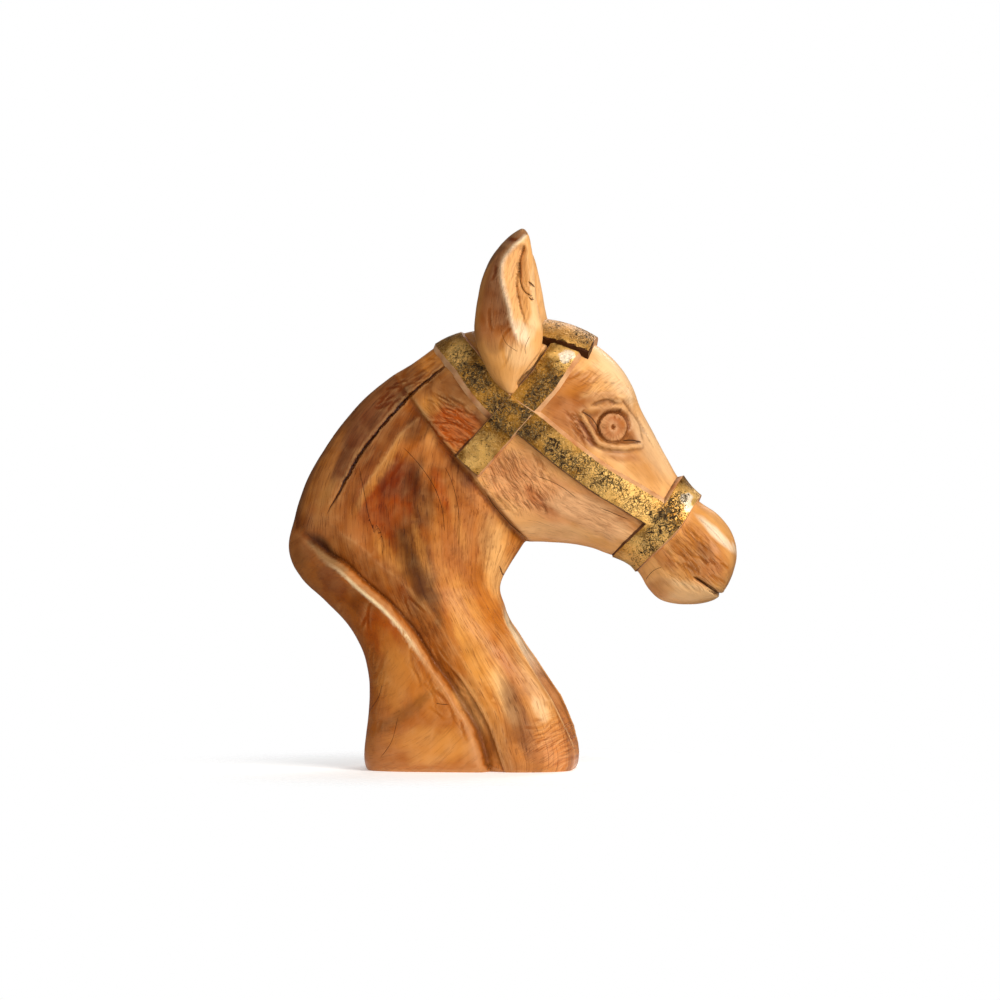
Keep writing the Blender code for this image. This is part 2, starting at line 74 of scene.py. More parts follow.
# Neck stations, from below the foot up: back of the neck (x, z), front (x, z), half width, how much
# of that width is left at the back and at the front, and how square the section is (2 is an
# ellipse). The first two lie below and at the cut of the base, to ease its edge.
NECK = (
    ((-64, -7), (62, -7), 42.0, 0.90, 0.84, 5.0),
    ((-69.5, -1), (68.5, -1), 47.0, 0.90, 0.84, 5.0),
    ((-72, 5), (71, 5), 49.4, 0.90, 0.84, 5.0),
    ((-72, 16), (71, 16), 50.0, 0.90, 0.84, 5.0),
    ((-70, 36), (67.5, 36), 49.0, 0.88, 0.88, 4.4),
    ((-69.5, 58), (57, 58), 46.5, 0.84, 0.90, 4.0),
    ((-74, 80), (42.5, 80), 44.0, 0.78, 0.86, 3.5),
    ((-85, 99), (30, 98), 42.0, 0.70, 0.76, 3.1),
    ((-101, 115.5), (22.5, 111), 40.5, 0.64, 0.70, 2.8),
    ((-118, 132), (18.5, 122), 39.0, 0.60, 0.68, 2.7),
    ((-126, 151), (20, 131), 38.0, 0.56, 0.66, 2.6),
    ((-122, 173), (25, 140), 37.0, 0.52, 0.64, 2.6),
    ((-113.5, 199), (31, 149), 36.5, 0.50, 0.62, 2.6),
    ((-99, 224), (37, 158), 36.2, 0.50, 0.60, 2.6),
    ((-80, 248.5), (44, 168), 35.2, 0.50, 0.58, 2.6),
    ((-58.5, 268), (52, 178), 31.0, 0.52, 0.50, 2.6),
    ((-38, 280.5), (56, 190), 26.0, 0.55, 0.50, 2.6),
)

# Head stations, from the cut behind the jaw to the lips: top (x, z), underside (x, z), half width,
# shares of it left at the top and underside, how square it is.
HEAD = (
    ((-52, 270.5), (38, 156), 35.4, 0.50, 0.66, 2.7),
    ((-16, 296), (51, 156), 38.0, 0.54, 0.64, 2.7),
    ((20, 304), (65, 155), 40.5, 0.62, 0.68, 2.8),
    ((51, 304), (75, 153.5), 40.0, 0.68, 0.70, 2.9),
    ((76, 296), (83, 151.5), 38.5, 0.72, 0.71, 3.0),
    ((96, 281.5), (90, 149), 37.0, 0.74, 0.71, 3.0),
    ((107.5, 265), (96, 147), 35.0, 0.74, 0.71, 3.0),
    ((114, 248), (101, 145), 32.5, 0.74, 0.71, 2.9),
    ((123, 231.5), (105, 143), 30.0, 0.74, 0.71, 2.8),
    ((131.5, 215), (108, 141), 27.5, 0.74, 0.72, 2.7),
    ((138.5, 202.5), (110.5, 138.5), 26.0, 0.76, 0.74, 2.6),
    ((146.5, 191.5), (114.5, 133), 25.5, 0.80, 0.76, 2.4),
    ((156, 183), (120, 124), 26.5, 0.84, 0.82, 2.3),
    ((166, 176), (128, 116.5), 28.0, 0.86, 0.86, 2.3),
    ((174, 167), (141, 113.5), 28.5, 0.88, 0.88, 2.3),
    ((179, 156), (154.5, 114), 27.0, 0.90, 0.90, 2.3),
    ((179.5, 145), (164, 116.5), 23.0, 0.92, 0.92, 2.2),
    ((177, 135), (170, 121), 16.0, 0.95, 0.95, 2.2),
)

# Ear stations, from the root up: back edge (x, z), front edge (x, z), middle (y), half thickness.
EAR = (
    ((27, 258), (32, 258), 38.5, 2.5),
    ((17, 268), (38, 268), 36.5, 7.0),
    ((8.5, 284), (48, 284), 33.5, 11.5),
    ((4.0, 300), (50.5, 300), 30.0, 13.5),
    ((4.4, 313), (48, 313), 27.5, 13.5),
    ((6.0, 325), (45.7, 325), 25.5, 12.5),
    ((9.0, 338), (44.3, 338), 23.0, 11.0),
    ((13.2, 349), (43.5, 349), 20.5, 9.0),
    ((19.3, 358), (41.8, 358), 18.0, 7.0),
    ((26.6, 366), (40, 366), 16.0, 4.6),
    ((34.2, 371.5), (36.8, 371.5), 15.0, 1.2),
)
# The same ear as (height, x of its back, x of its front, middle y).
EAR_OUTLINE = [(back[1], back[0], front[0], middle) for back, front, middle, _ in EAR]

# Lines carved on both sides, as points (x, z).
MANE_GROOVE = ((-13, 280.5), (-20.6, 274.7), (-38.6, 259.5), (-53, 244.3), (-65, 229.7),
               (-73.4, 218.7), (-80.7, 206.6), (-89, 190.8), (-98.7, 171.9))
NECK_RIDGE = ((-26, 250), (-32, 243), (-47, 228), (-58, 210), (-70, 194), (-73, 181), (-70, 165))
SHOULDER_GROOVE = ((-116, 166), (-107, 158), (-96, 148.5), (-84, 141), (-70, 128.4), (-55, 116.3),
                   (-44.4, 105.4), (-33.6, 92.4), (-23, 76.2), (-12.2, 61), (-3.6, 46.8), (4, 35),
                   (9.3, 22), (14.6, 0), (16, -8))
SHOULDER_FACET = ((-30, 96), (-17, 79.4), (-1, 61), (12, 39.2), (18, 26.2), (26, 2), (28, -8))
JAW_LINE = ((-52, 270), (38, 156))
EAR_RIM = ((37.5, 366), (30, 358), (24.5, 349.9), (23, 340.5), (25.5, 328.7), (29, 317.1),
           (31.5, 305.3), (35, 294))
EAR_HOLLOW = ((37.5, 362), (33.8, 350), (32.2, 338.2), (32.6, 328.7), (35.0, 317.8), (38.2, 307.6),
              (40.4, 294))
EAR_SLIT = ((33.0, 350), (33.6, 342), (35.2, 333))
EAR_KNOTS = (((40.6, 334.8), (42.6, 333.2), (44.6, 331.0)), ((41.2, 324.6), (43.0, 322.6), (45.0, 322.6)))
EAR_FOLD = ((34.2, 337), (36.0, 331.5), (38.6, 327.6), (41.6, 325.8), (45.0, 324.6))
EAR_BACK_EDGE = ((36.0, 370), (31.2, 363.6), (25, 357.2), (19.4, 352), (15.2, 346.4), (11.8, 341.6),
                 (8.9, 334.8), (5, 320))
MOUTH_LINE = ((151, 134), (156, 130.5), (163, 125.5), (171, 119.5))
NOSE_EDGE = ((150, 178), (160, 170), (170, 160), (180, 148))
BROW_LINE = ((72, 252), (80, 256), (92, 258), (104, 255), (113, 246))
EAR_FRONT_ROOT = ((57, 294), (50, 284), (42, 272.5), (34.5, 262))
LOWER_LID = ((76.6, 245.4), (81, 238.4), (85.6, 229.8), (88.4, 225.4), (92, 223.4), (99, 221.8),
             (107, 221.6), (118, 222.8))
REAR_CREASE = ((82.1, 249.7), (88, 252.6), (94.8, 253.8), (102.3, 251.2), (106.1, 252.7))
FRONT_CREASE = ((102.3, 256.5), (109, 247.4), (115, 237.5), (117.2, 227.7), (119.5, 223.7))
LID_SHADOW = ((74.4, 243.6), (79.4, 235.4), (84.2, 226.4), (87.4, 222.2), (92, 220.4), (99, 219.2),
              (107, 218.8), (115, 219.4))

# Where knife marks show: the area's middle (x, z), half length, half width and tilt, the angle of
# the strokes and how strong they look, and then how many a gouge cuts, their half length and half
# width, and their depth.
MARKS = (
    ((32, 198), 30, 22, -20, -60, 1.0, 150, (5.5, 1.3), 0.34),
    ((-8, 234), 28, 16, -48, -32, 0.9, 80, (7.0, 1.1), 0.32),
    ((76, 234), 13, 9, -50, -54, 0.8, 30, (5.0, 1.0), 0.4),
    ((92, 262), 30, 11, -35, 40, 0.45, 40, (5.0, 1.3), 0.25),
    ((150, 146), 27, 20, -50, -48, 0.8, 80, (6.0, 1.4), 0.3),
    ((92, 172), 32, 13, -25, -24, 0.5, 50, (7.0, 1.7), 0.25),
    ((30, 320), 16, 44, 0, 82, 0.5, 40, (9.0, 1.5), 0.28),
    ((62, 20), 26, 20, 0, 30, 0.7, 60, (6.0, 1.3), 0.25),
    ((-40, 268), 30, 9, 42, 30, 0.5, 40, (6.0, 1.4), 0.28),
    ((-20, 70), 60, 14, -64, -62, 0.35, 40, (10.0, 1.6), 0.22),
    ((-80, 60), 30, 55, 0, 80, 0.3, 50, (9.0, 1.9), 0.2),
)
GOUGE_SEED = 200         # an area's strokes are drawn at random from this and its middle's x
GOUGE_ANGLES = 11        # how far the strokes stray from their area's angle, in degrees

# How deep the carving goes and how far it reaches, in millimetres.
SHOULDER_DEPTH, SHOULDER_SLOPE, SHOULDER_WALL = 7.0, 17.0, 4.4
CHANNEL_DEPTH, CHANNEL_TOP, CHANNEL_FADE = 1.8, 84.0, 34.0
CHEST_DEPTH = 6.5
# The upright rims to both sides of the chest's hollow, as (height, x, half width).
CHEST_RIMS = ((8, 72, 12), (17, 70.5, 20), (28, 67, 28), (49, 57.5, 34), (64, 47.5, 32), (79, 38, 28),
              (100, 25, 18), (113, 18.5, 9))
CHEST_WIDEST = 34.0
CHEST_FOOT, CHEST_TOP = 10.0, 116.0
RIM_SHOULDER, RIM_SLOPE = 7.0, 0.5    # how far the wood falls away beyond a rim, and how steeply
JAW_STEP, JAW_FADE, JAW_EDGE = 1.8, 10.0, 2.2
EAR_DEPTH = 7.0
EAR_FRONT_REACH = ((320, 12.5), (335, 11.0), (352, 5.0), (362, 3.0))   # (height, how far ahead)
EAR_RIM_HEIGHT, EAR_RIM_REACH = 4.0, 21.0
LEFT_EAR_LEAN = 4.4      # how far back the left ear's tip leans beyond the right one's
EAR_LEAN_START, EAR_LEAN_END = 325, 370    # the heights between which the lean grows
MOUTH_DEPTH, MOUTH_REACH = 3.0, 2.0
WAVES, FLATS = 0.45, 0.13    # how uneven the knife left the surface, in broad waves and small flats

# The eye: its corners (x, z), the eyeball's middle and radius, and the lids round it.
EYE_REAR, EYE_FRONT = (77.2, 245.8), (116.5, 225.0)
EYE_MIDDLE = (99.3, 235.9)
EYEBALL = 10.0
EYE_RING = 12.2          # radius of the groove cut round the eyeball
EYE_OPENING = 8.4        # half the height of the almond between the lids
PUPIL, PUPIL_DEPTH = 1.4, 2.2
EYE_SIDE = 15.0          # the eyes lie further out than this from the middle plane
# How deep the socket, the corners, the ring and the eyeball's flat are cut.
SOCKET_DEPTH, CORNER_DEPTH, RING_DEPTH, BALL_DEPTH = 2.2, 2.2, 4.2, 0.5

# The bridle: how wide and how proud of the wood its bands are, and how deep they reach into it.
# Each band over the top turns about a pivot (x, z), with its middle going through its top (x, z).
BAND_ROOT, BAND_FOOT = 2.5, 0.4    # the depth of its underside, and of the foot of its slanted sides
CHEEK_BAND = ((0, 278), (8.4, 266.5), (17.5, 255.9), (26.5, 247.5), (41.1, 237.6), (53.1, 227.9),
              (68.5, 215.3), (90, 199.3), (107.1, 188.7), (128, 175.5))
CHEEK_BAND_WIDTH, CHEEK_BAND_HEIGHT, POLL_BAND_HEIGHT = 19.0, 3.4, 1.8
POLL_PIVOT, POLL_TOP = (-1, 279.5), (-13.2, 292.6)
BROW_BAND = ((-0.5, 208.4), (24.5, 236.5), (50, 265.5))
BROW_BAND_WIDTH, BROW_BAND_HEIGHT = 20.0, 2.9
BROW_PIVOT, BROW_TOP = (52, 268), (72, 301)
FOREHEAD_BAND_WIDTH, FOREHEAD_BAND_HEIGHT = 37.0, 5.6
FOREHEAD_PIVOT, FOREHEAD_TOP = (55, 268), (67.7, 303.5)
FOREHEAD_BAND_TURN = 48  # degrees to each side of the top
FOREHEAD_BAND_RAGGED = 3.5    # how unevenly its ends are broken off
NOSE_BAND_WIDTH, NOSE_BAND_HEIGHT, CHIN_BAND_HEIGHT = 18.5, 4.2, 1.2
NOSE_PIVOT, NOSE_TOP = (129.5, 165.5), (152, 186.5)
NOSE_BAND_BEND = 8.0     # how far its top lies back of the plane that its sides lie in
GILDING = 0.35           # how far the gilding stands over its wooden bar
RAY_LENGTH = 150.0       # a ray towards the wood starts this far out
NOSE_RAY_LENGTH = 60.0   # short of the chest, for the band that goes under the jaw
SHARP_ANGLE = math.radians(40)


# ---------------------------------------------------------------- forms

def smooth_rows(rows, steps):
    """Rows of numbers read off a Catmull-Rom curve through the given rows, `steps` to each gap."""
    rows = np.array(rows, float)
    ends = np.vstack([2 * rows[0] - rows[1], rows, 2 * rows[-1] - rows[-2]])
    out = []
    for i in range(len(rows) - 1):
        a, b, c, d = ends[i:i + 4]
        for t in np.arange(steps) / steps:
            out.append(0.5 * (2 * b + (c - a) * t + (2 * a - 5 * b + 4 * c - d) * t**2
                              + (3 * b - a - 3 * c + d) * t**3))
    out.append(rows[-1])
    return np.array(out)


def flat_rows(stations):
    """Stations as plain rows of numbers, with their points (x, z) spread out."""
    return [[n for part in station for n in (part if isinstance(part, tuple) else (part,))]
            for station in stations]


def signed_power(values, exponent):
    return np.sign(values) * np.abs(values) ** exponent


def clamped(value):
    return np.clip(value, 0, 1)


def smoothstep(value):
    value = clamped(value)
    return value * value * (3 - 2 * value)


def ease(value, start, end):
    """Rises smoothly from 0 where the value is at its start to 1 at its end, which may lie below."""
    return smoothstep((value - start) / (end - start))


def taper(along, start, end):
    """Rises from 0 at the start of a line and falls to 0 at its end, over these shares of its length."""
    return smoothstep(along / start) * smoothstep((1 - along) / end)


def at_height(z, rows):
    """The columns of a table at each height, read between its rows, which begin with their height."""
    heights, *columns = zip(*rows)
    return [np.interp(z, heights, column) for column in columns]


class Noise:
    """Smooth random values in space from -1 to 1, the same on each run. The seed picks the pattern."""

    def __init__(self, seed):
        source = np.random.default_rng(seed)
        self.order = source.permutation(256)
        self.values = source.random(256) * 2 - 1

    def __call__(self, points):
        base = np.floor(points).astype(int)
        part = points - base
        part = part * part * (3 - 2 * part)
        total = np.zeros(len(points))
        for corner in itertools.product((0, 1), repeat=3):
            cell = (base + corner) & 255
            spot = self.order[cell[:, 0]] + cell[:, 1]
            spot = self.order[spot & 255] + cell[:, 2]
            weight = np.prod(np.where(corner, part, 1 - part), axis=1)
            total += self.values[self.order[spot & 255]] * weight
        return total

    def layers(self, points, count=3):
        """Several octaves added up."""
        return sum(self(points * 2**i + 17.3 * i) / 2**i for i in range(count)) / 1.6


def body_ring(row):
    """Points round a section of the neck or head: a rounded slab in the plane of its chord and Y."""
    upper, lower = row[0:2], row[2:4]
    half_width, upper_share, lower_share, square = row[4:8]
    turn = np.arange(RING_POINTS) * 2 * math.pi / RING_POINTS
    along = -signed_power(np.cos(turn), 2 / square)
    across = signed_power(np.sin(turn), 2 / square)
    end_share = np.where(along < 0, upper_share, lower_share)
    width = half_width * (1 - (1 - end_share) * along**2)
    flat = (upper + lower) / 2 + along[:, None] * (lower - upper) / 2
    return np.stack([flat[:, 0], across * width, flat[:, 1]], 1) * MM


def ear_ring(row, side):
    """Points round one section of an ear."""
    back, front = row[0:2], row[2:4]
    middle_y, half_thickness = row[4:6]
    turn = np.arange(EAR_RING_POINTS) * 2 * math.pi / EAR_RING_POINTS
    flat = (back + front) / 2 + np.cos(turn)[:, None] * (back - front) / 2
    if side > 0:
        flat[:, 0] -= LEFT_EAR_LEAN * ease(flat[:, 1], EAR_LEAN_START, EAR_LEAN_END)
    y = side * (middle_y - half_thickness * np.sin(turn))
    return np.stack([flat[:, 0], y, flat[:, 1]], 1) * MM


def add_object(name, data):
    made = bpy.data.objects.new(name, data)
    bpy.context.scene.collection.objects.link(made)
    return made


def loft(name, rings, closed=False):
    """A closed skin through rings of points."""
    shape = bmesh.new()
    rows = [[shape.verts.new(point) for point in ring] for ring in rings]
    following = rows[1:] + rows[:1] if closed else rows[1:]
    for low, high in zip(rows, following):
        for i, vertex in enumerate(low):
            j = (i + 1) % len(low)
            shape.faces.new((vertex, low[j], high[j], high[i]))
    if not closed:
        shape.faces.new(reversed(rows[0]))
        shape.faces.new(rows[-1])
    bmesh.ops.recalc_face_normals(shape, faces=shape.faces)
    mesh = bpy.data.meshes.new(name)
    shape.to_mesh(mesh)
    shape.free()
    return add_object(name, mesh)


def build_body(name, stations):
    rows = smooth_rows(flat_rows(stations), RINGS_PER_STATION)
    return loft(name, [body_ring(row) for row in rows])


def build_ear(side):
    rows = smooth_rows(flat_rows(EAR), RINGS_PER_STATION)
    return loft(f"ear_{side}", [ear_ring(row, side) for row in rows])


def evaluated_mesh(item):
    """What the object's modifiers make of its mesh."""
    graph = bpy.context.evaluated_depsgraph_get()
    return bpy.data.meshes.new_from_object(item.evaluated_get(graph))


def fused_skin(pieces):
    """One closed skin round overlapping pieces, which it uses up."""
    bpy.ops.object.select_all(action="DESELECT")
    for piece in pieces:
        piece.select_set(True)
    bpy.context.view_layer.objects.active = pieces[0]
    bpy.ops.object.join()
    whole = pieces[0]
    remesh = whole.modifiers.new("fuse", "REMESH")
    remesh.mode = "VOXEL"
    remesh.voxel_size = VOXEL
    smooth = whole.modifiers.new("even", "SMOOTH")
    smooth.factor = 0.5
    smooth.iterations = SMOOTHING_STEPS
    mesh = evaluated_mesh(whole)
    bpy.data.objects.remove(whole)
    return mesh


# ---------------------------------------------------------------- carving

def path_reading(points, x, z):
    """How far each (x, z) is from a smooth line, on which side of it, and how far along it (0 to 1)."""
    line = smooth_rows(points, 8)
    start, run = line[:-1], np.diff(line, axis=0)
    length = np.hypot(run[:, 0], run[:, 1])
    begun = np.concatenate([[0], np.cumsum(length)])
    best = np.full(len(x), np.inf)
    side = np.zeros(len(x))
    along = np.zeros(len(x))
    for (sx, sz), (rx, rz), span, before in zip(start, run, length, begun):
        t = clamped(((x - sx) * rx + (z - sz) * rz) / span**2)
        dx, dz = x - sx - t * rx, z - sz - t * rz
        away = np.hypot(dx, dz)
        nearer = away < best
        best = np.where(nearer, away, best)
        side = np.where(nearer, np.sign(rx * dz - rz * dx), side)
        along = np.where(nearer, (before + t * span) / begun[-1], along)
    return best, side, along


def turned(x, z, middle, angle):
    """How far each (x, z) lies from a middle, along a direction in degrees and across it."""
    turn = math.radians(angle)
    dx, dz = x - middle[0], z - middle[1]
    return dx * math.cos(turn) + dz * math.sin(turn), -dx * math.sin(turn) + dz * math.cos(turn)


def in_ellipse(x, z, middle, long, short, tilt):
    """How far out each (x, z) is in a tilted ellipse: 0 in its middle, 1 on its edge."""
    along, across = turned(x, z, middle, tilt)
    return np.hypot(along / long, across / short)


def knife_wander(points):
    """How far a knife strays at each point, from -1 to 1."""
    return Noise(9).layers(points / 6)


def vectors(collection, key):
    values = np.empty(len(collection) * 3, np.float32)
    collection.foreach_get(key, values)
    return values.reshape(-1, 3).astype(float)


def points_of(mesh):
    """A mesh's points in millimetres."""
    return vectors(mesh.vertices, "co") / MM


def normals_of(mesh):
    return vectors(mesh.vertex_normals, "vector")


def outward_share(points, normals):
    """How much the surface faces away from the middle plane, from -1 to 1."""
    return normals[:, 1] * np.where(points[:, 1] < 0, -1.0, 1.0)


class Skin:
    """The surface being carved: its points in millimetres, read as the side view (x, z) and |y|."""

    def __init__(self, mesh):
        self.mesh = mesh
        self.points = points_of(mesh)
        self.refresh()

    def refresh(self):
        """Writes the points to the mesh and reads its normals again."""
        self.mesh.vertices.foreach_set("co", (self.points * MM).astype(np.float32).ravel())
        self.mesh.update()
        self.normals = normals_of(self.mesh)
        self.x, self.z = self.points[:, 0], self.points[:, 2]
        self.depth = np.abs(self.points[:, 1])
        self.outward = outward_share(self.points, self.normals)

    def read(self, line):
        return path_reading(line, self.x, self.z)

    def cut(self, amount, direction=None):
        """Moves each point inwards by millimetres, against its normal or in a given direction."""
        inwards = -self.normals if direction is None else np.array(direction)[None, :]
        self.points += inwards * amount[:, None]
        self.refresh()

    def cut_sideways(self, amount):
        """Moves each point towards the middle plane by millimetres."""
        self.points[:, 1] -= np.sign(self.points[:, 1]) * amount
        self.refresh()

    def facing_side(self, least=0.05):
        """1 where the surface faces out to its side, 0 where it faces the middle or along it."""
        return smoothstep((self.outward - least) / FACING_BLEND)

    def groove(self, line, depth, left, right, ends=(0.12, 0.12), power=1.4, wander=0.2):
        """A V groove on both sides, with its own reach to the left and right of its line.

        The ends are the shares of its length over which it fades out. A negative depth is a ridge.
        The line wanders by millimetres, as a knife does.
        """
        away, side, along = path_reading(line, self.x + wander * knife_wander(self.points), self.z)
        reach = np.where(side > 0, left, right)
        self.cut(depth * taper(along, *ends) * clamped(1 - away / reach) ** power * self.facing_side())

    def gouges(self, area, angle, count, size, depth):
        """Short strokes of a gouge scattered over an area of marks, on both sides."""
        middle, long, short, tilt = area
        near = np.flatnonzero((in_ellipse(self.x, self.z, *area) < 1.3) & (self.outward > 0.1))
        x, z, right = self.x[near], self.z[near], self.points[near, 1] < 0
        amount = np.zeros(len(near))
        source = np.random.default_rng(int(middle[0]) + GOUGE_SEED)
        turn = math.radians(tilt)
        for _ in range(count):
            way, reach = source.random() * 2 * math.pi, math.sqrt(source.random())
            out, aside = reach * long * math.cos(way), reach * short * math.sin(way)
            place = (middle[0] + out * math.cos(turn) - aside * math.sin(turn),
                     middle[1] + out * math.sin(turn) + aside * math.cos(turn))
            along, across = turned(x, z, place, angle + source.normal() * GOUGE_ANGLES)
            length, width = size[0] * (0.6 + 0.8 * source.random()), size[1] * (0.7 + 0.6 * source.random())
            deep, bend = depth * (0.5 + source.random()), source.normal() * 0.02
            one_side = source.random() < 0.5
            shape = (1 - ((across + bend * along**2) / width) ** 2) * clamped(1 - (along / length) ** 2)
            amount = np.maximum(amount, deep * clamped(shape) * (right == one_side))
        everywhere = np.zeros(len(self.points))
        everywhere[near] = amount
        self.cut(everywhere)


def carve_neck(skin):
    """The groove round the shoulder with its channel below, and the mane's groove."""
    skin.groove(SHOULDER_GROOVE, depth=SHOULDER_DEPTH, left=SHOULDER_SLOPE, right=SHOULDER_WALL,
                ends=(0.16, 0.01), power=1.3)
    from_wall, wall_side, _ = skin.read(SHOULDER_GROOVE)
    from_facet, facet_side, _ = skin.read(SHOULDER_FACET)
    inside = (wall_side > 0) * (facet_side < 0)
    channel = smoothstep(from_wall / 1.2) * smoothstep(from_facet / 1.8) * inside
    skin.cut(CHANNEL_DEPTH * channel * smoothstep((CHANNEL_TOP - skin.z) / CHANNEL_FADE) * skin.facing_side())
    skin.groove(NECK_RIDGE, depth=-1.6, left=11, right=9, ends=(0.2, 0.3), power=1.2)
    skin.groove(MANE_GROOVE, depth=2.3, left=1.1, right=1.1, ends=(0.12, 0.3), power=1.0, wander=1.4)
    skin.groove(MANE_GROOVE, depth=0.9, left=7.0, right=5.0, ends=(0.12, 0.25), power=1.2)


def carve_chest(skin):
    """A shallow hollow down the chest between two upright rims, which stand proud of the neck."""
    place, half_width = at_height(skin.z, CHEST_RIMS)
    beyond = skin.depth - half_width
    hollow = CHEST_DEPTH * clamped(1 - (skin.depth / half_width) ** 2) ** 0.8 * half_width / CHEST_WIDEST
    wanted = place - np.where(beyond < 0, hollow, beyond * RIM_SLOPE)
    front = smoothstep((skin.normals[:, 0] - 0.02) / 0.2) * ease(skin.x, -5, 10) * (skin.x < 85)
    height = smoothstep((skin.z - CHEST_FOOT) / 14) * smoothstep((CHEST_TOP - skin.z) / 22)
    near = smoothstep((RIM_SHOULDER - beyond) / RIM_SHOULDER)
    skin.cut((skin.x - wanted) * front * height * near, (-1, 0, 0))


def carve_jaw(skin):
    """The step from the cheek down to the neck, behind the jaw, which dies out towards the crest."""
    away, side, along = skin.read(JAW_LINE)
    reach = np.where(side < 0, JAW_FADE, JAW_EDGE)
    low = 0.15 + 0.85 * smoothstep((along - 0.45) / 0.45)
    skin.cut(JAW_STEP * clamped(1 - away / reach) ** 1.3 * low * skin.facing_side())


def carve_ears(skin):
    """Each ear rises to a sharp rim, falls from it into a hollow, and rises again to its front edge."""
    from_rim, rim_side, _ = skin.read(EAR_RIM)
    away, side, along = skin.read(EAR_HOLLOW)
    behind = np.where(rim_side > 0, from_rim / (from_rim + away + TINY), 0) ** 0.7
    ahead = clamped(1 - away / at_height(skin.z, EAR_FRONT_REACH)[0]) ** 1.2
    hollow = np.where(side > 0, ahead, behind)
    rim = clamped(1 - from_rim / EAR_RIM_REACH) ** 1.3 * (rim_side <= 0)
    rim = rim + clamped(1 - from_rim / 1.4) * (rim_side > 0) * 0.8
    outer = skin.facing_side(0.0) * ease(skin.depth, 8, 12) * (skin.z > EAR_HOLLOW[-1][1] - 9)
    skin.cut_sideways((EAR_DEPTH * hollow - EAR_RIM_HEIGHT * rim) * taper(along, 0.10, 0.45) * outer)
    skin.groove(EAR_HOLLOW, depth=0.7, left=1.6, right=1.6, ends=(0.15, 0.3), power=1.0)
    skin.groove(EAR_SLIT, depth=2.0, left=2.2, right=1.8, ends=(0.3, 0.4), power=1.0)
    skin.groove(EAR_FRONT_ROOT, depth=3.5, left=3.0, right=3.0, ends=(0.1, 0.1), power=1.0)
    skin.groove(EAR_FOLD, depth=0.9, left=1.2, right=1.6, ends=(0.2, 0.3), power=1.0)
    for knot in EAR_KNOTS:
        skin.groove(knot, depth=1.4, left=1.3, right=1.3, ends=(0.4, 0.4), power=1.0)


def eye_reading(skin):
    """How far along and across the eye each point is, and the half length between its corners."""
    rear, front = np.array(EYE_REAR), np.array(EYE_FRONT)
    half = np.hypot(*(front - rear)) / 2
    long_way = (front - rear) / (2 * half)
    from_middle = np.stack([skin.x, skin.z], 1) - (rear + front) / 2
    return from_middle @ long_way, from_middle @ np.array([-long_way[1], long_way[0]]), half


def carve_eye(skin):
    """A socket, sunk corners, a flat round eyeball with a ring cut round it, and the lids."""
    along, across, half = eye_reading(skin)
    near = (skin.depth > EYE_SIDE) & (half * 2 > np.abs(along)) & (half * 2 > np.abs(across))
    gate = skin.facing_side(0.2) * near
    socket = smoothstep(1.35 - np.hypot(along / (half * 1.25), across / (EYE_OPENING * 1.9)))
    outside = np.abs(across) - EYE_OPENING * clamped(1 - (along / half) ** 2)
    almond = smoothstep(0.5 - outside / np.where(across > 0, 7.0, 1.5)) * (np.abs(along) < half)
    reach = np.hypot(skin.x - EYE_MIDDLE[0], skin.z - EYE_MIDDLE[1])
    ball = smoothstep((EYEBALL + 0.4 - reach) / 0.9)
    upper_rear = 0.5 + 0.5 * ((skin.z - EYE_MIDDLE[1]) - 0.5 * (skin.x - EYE_MIDDLE[0])) / (reach + TINY)
    ring = smoothstep((EYE_RING + 0.6 - reach) / 1.6) * (1 - ball) * (0.35 + 0.65 * clamped(upper_rear))
    pupil = smoothstep((PUPIL + 0.5 - reach) / 1.0)
    well = np.maximum(CORNER_DEPTH * almond * (1 - ball), RING_DEPTH * ring)
    skin.cut((SOCKET_DEPTH * socket + well + BALL_DEPTH * ball + PUPIL_DEPTH * pupil) * gate)
    skin.groove(LOWER_LID, depth=-1.5, left=1.9, right=1.6, ends=(0.04, 0.04), power=0.5)
    skin.groove(LID_SHADOW, depth=0.8, left=1.0, right=2.2, ends=(0.10, 0.25), power=1.0)
    skin.groove(REAR_CREASE, depth=1.0, left=1.2, right=2.6, ends=(0.2, 0.3), power=1.0, wander=1.5)
    skin.groove(FRONT_CREASE, depth=1.0, left=2.4, right=1.4, ends=(0.2, 0.2), power=1.0)


def carve_face(skin):
    """The brow over the eye, the edge of the nose's flat, and the mouth, which meets in front."""
    skin.groove(BROW_LINE, depth=-2.4, left=8, right=7, ends=(0.3, 0.3), power=1.0)
    skin.groove(NOSE_EDGE, depth=1.6, left=9, right=6, ends=(0.25, 0.25))
    skin.groove(MOUTH_LINE, depth=MOUTH_DEPTH, left=MOUTH_REACH, right=MOUTH_REACH, ends=(0.25, 0.05))
    lips = smoothstep((skin.normals[:, 0] - 0.3) / FACING_BLEND) * (skin.x > 160)
    front_x, front_z = MOUTH_LINE[-1]
    from_mouth = np.abs(skin.z - front_z - (front_x - skin.x) * 0.4)
    skin.cut(MOUTH_DEPTH * 0.7 * lips * clamped(1 - from_mouth / MOUTH_REACH))


def carve_hand_work(skin):
    """The unevenness of knife work: soft waves all over, and gouge strokes where they show."""
    uneven = WAVES * Noise(5).layers(skin.points / 26) + FLATS * Noise(6)(skin.points / 9)
    skin.cut(uneven * ease(skin.z, 2, 10))
    for *area, angle, _, count, size, depth in MARKS:
        skin.gouges(area, angle, count, size, depth)


def surface_of(pieces):
    """A search tree over the neck and the head, whose outermost surface the bands lie on."""
    points, faces = [], []
    for piece in pieces:
        first = len(points)
        points += [vertex.co.copy() for vertex in piece.data.vertices]
        faces += [[first + i for i in face.vertices] for face in piece.data.polygons]
    return BVHTree.FromPolygons(points, faces)


# ---------------------------------------------------------------- the bridle

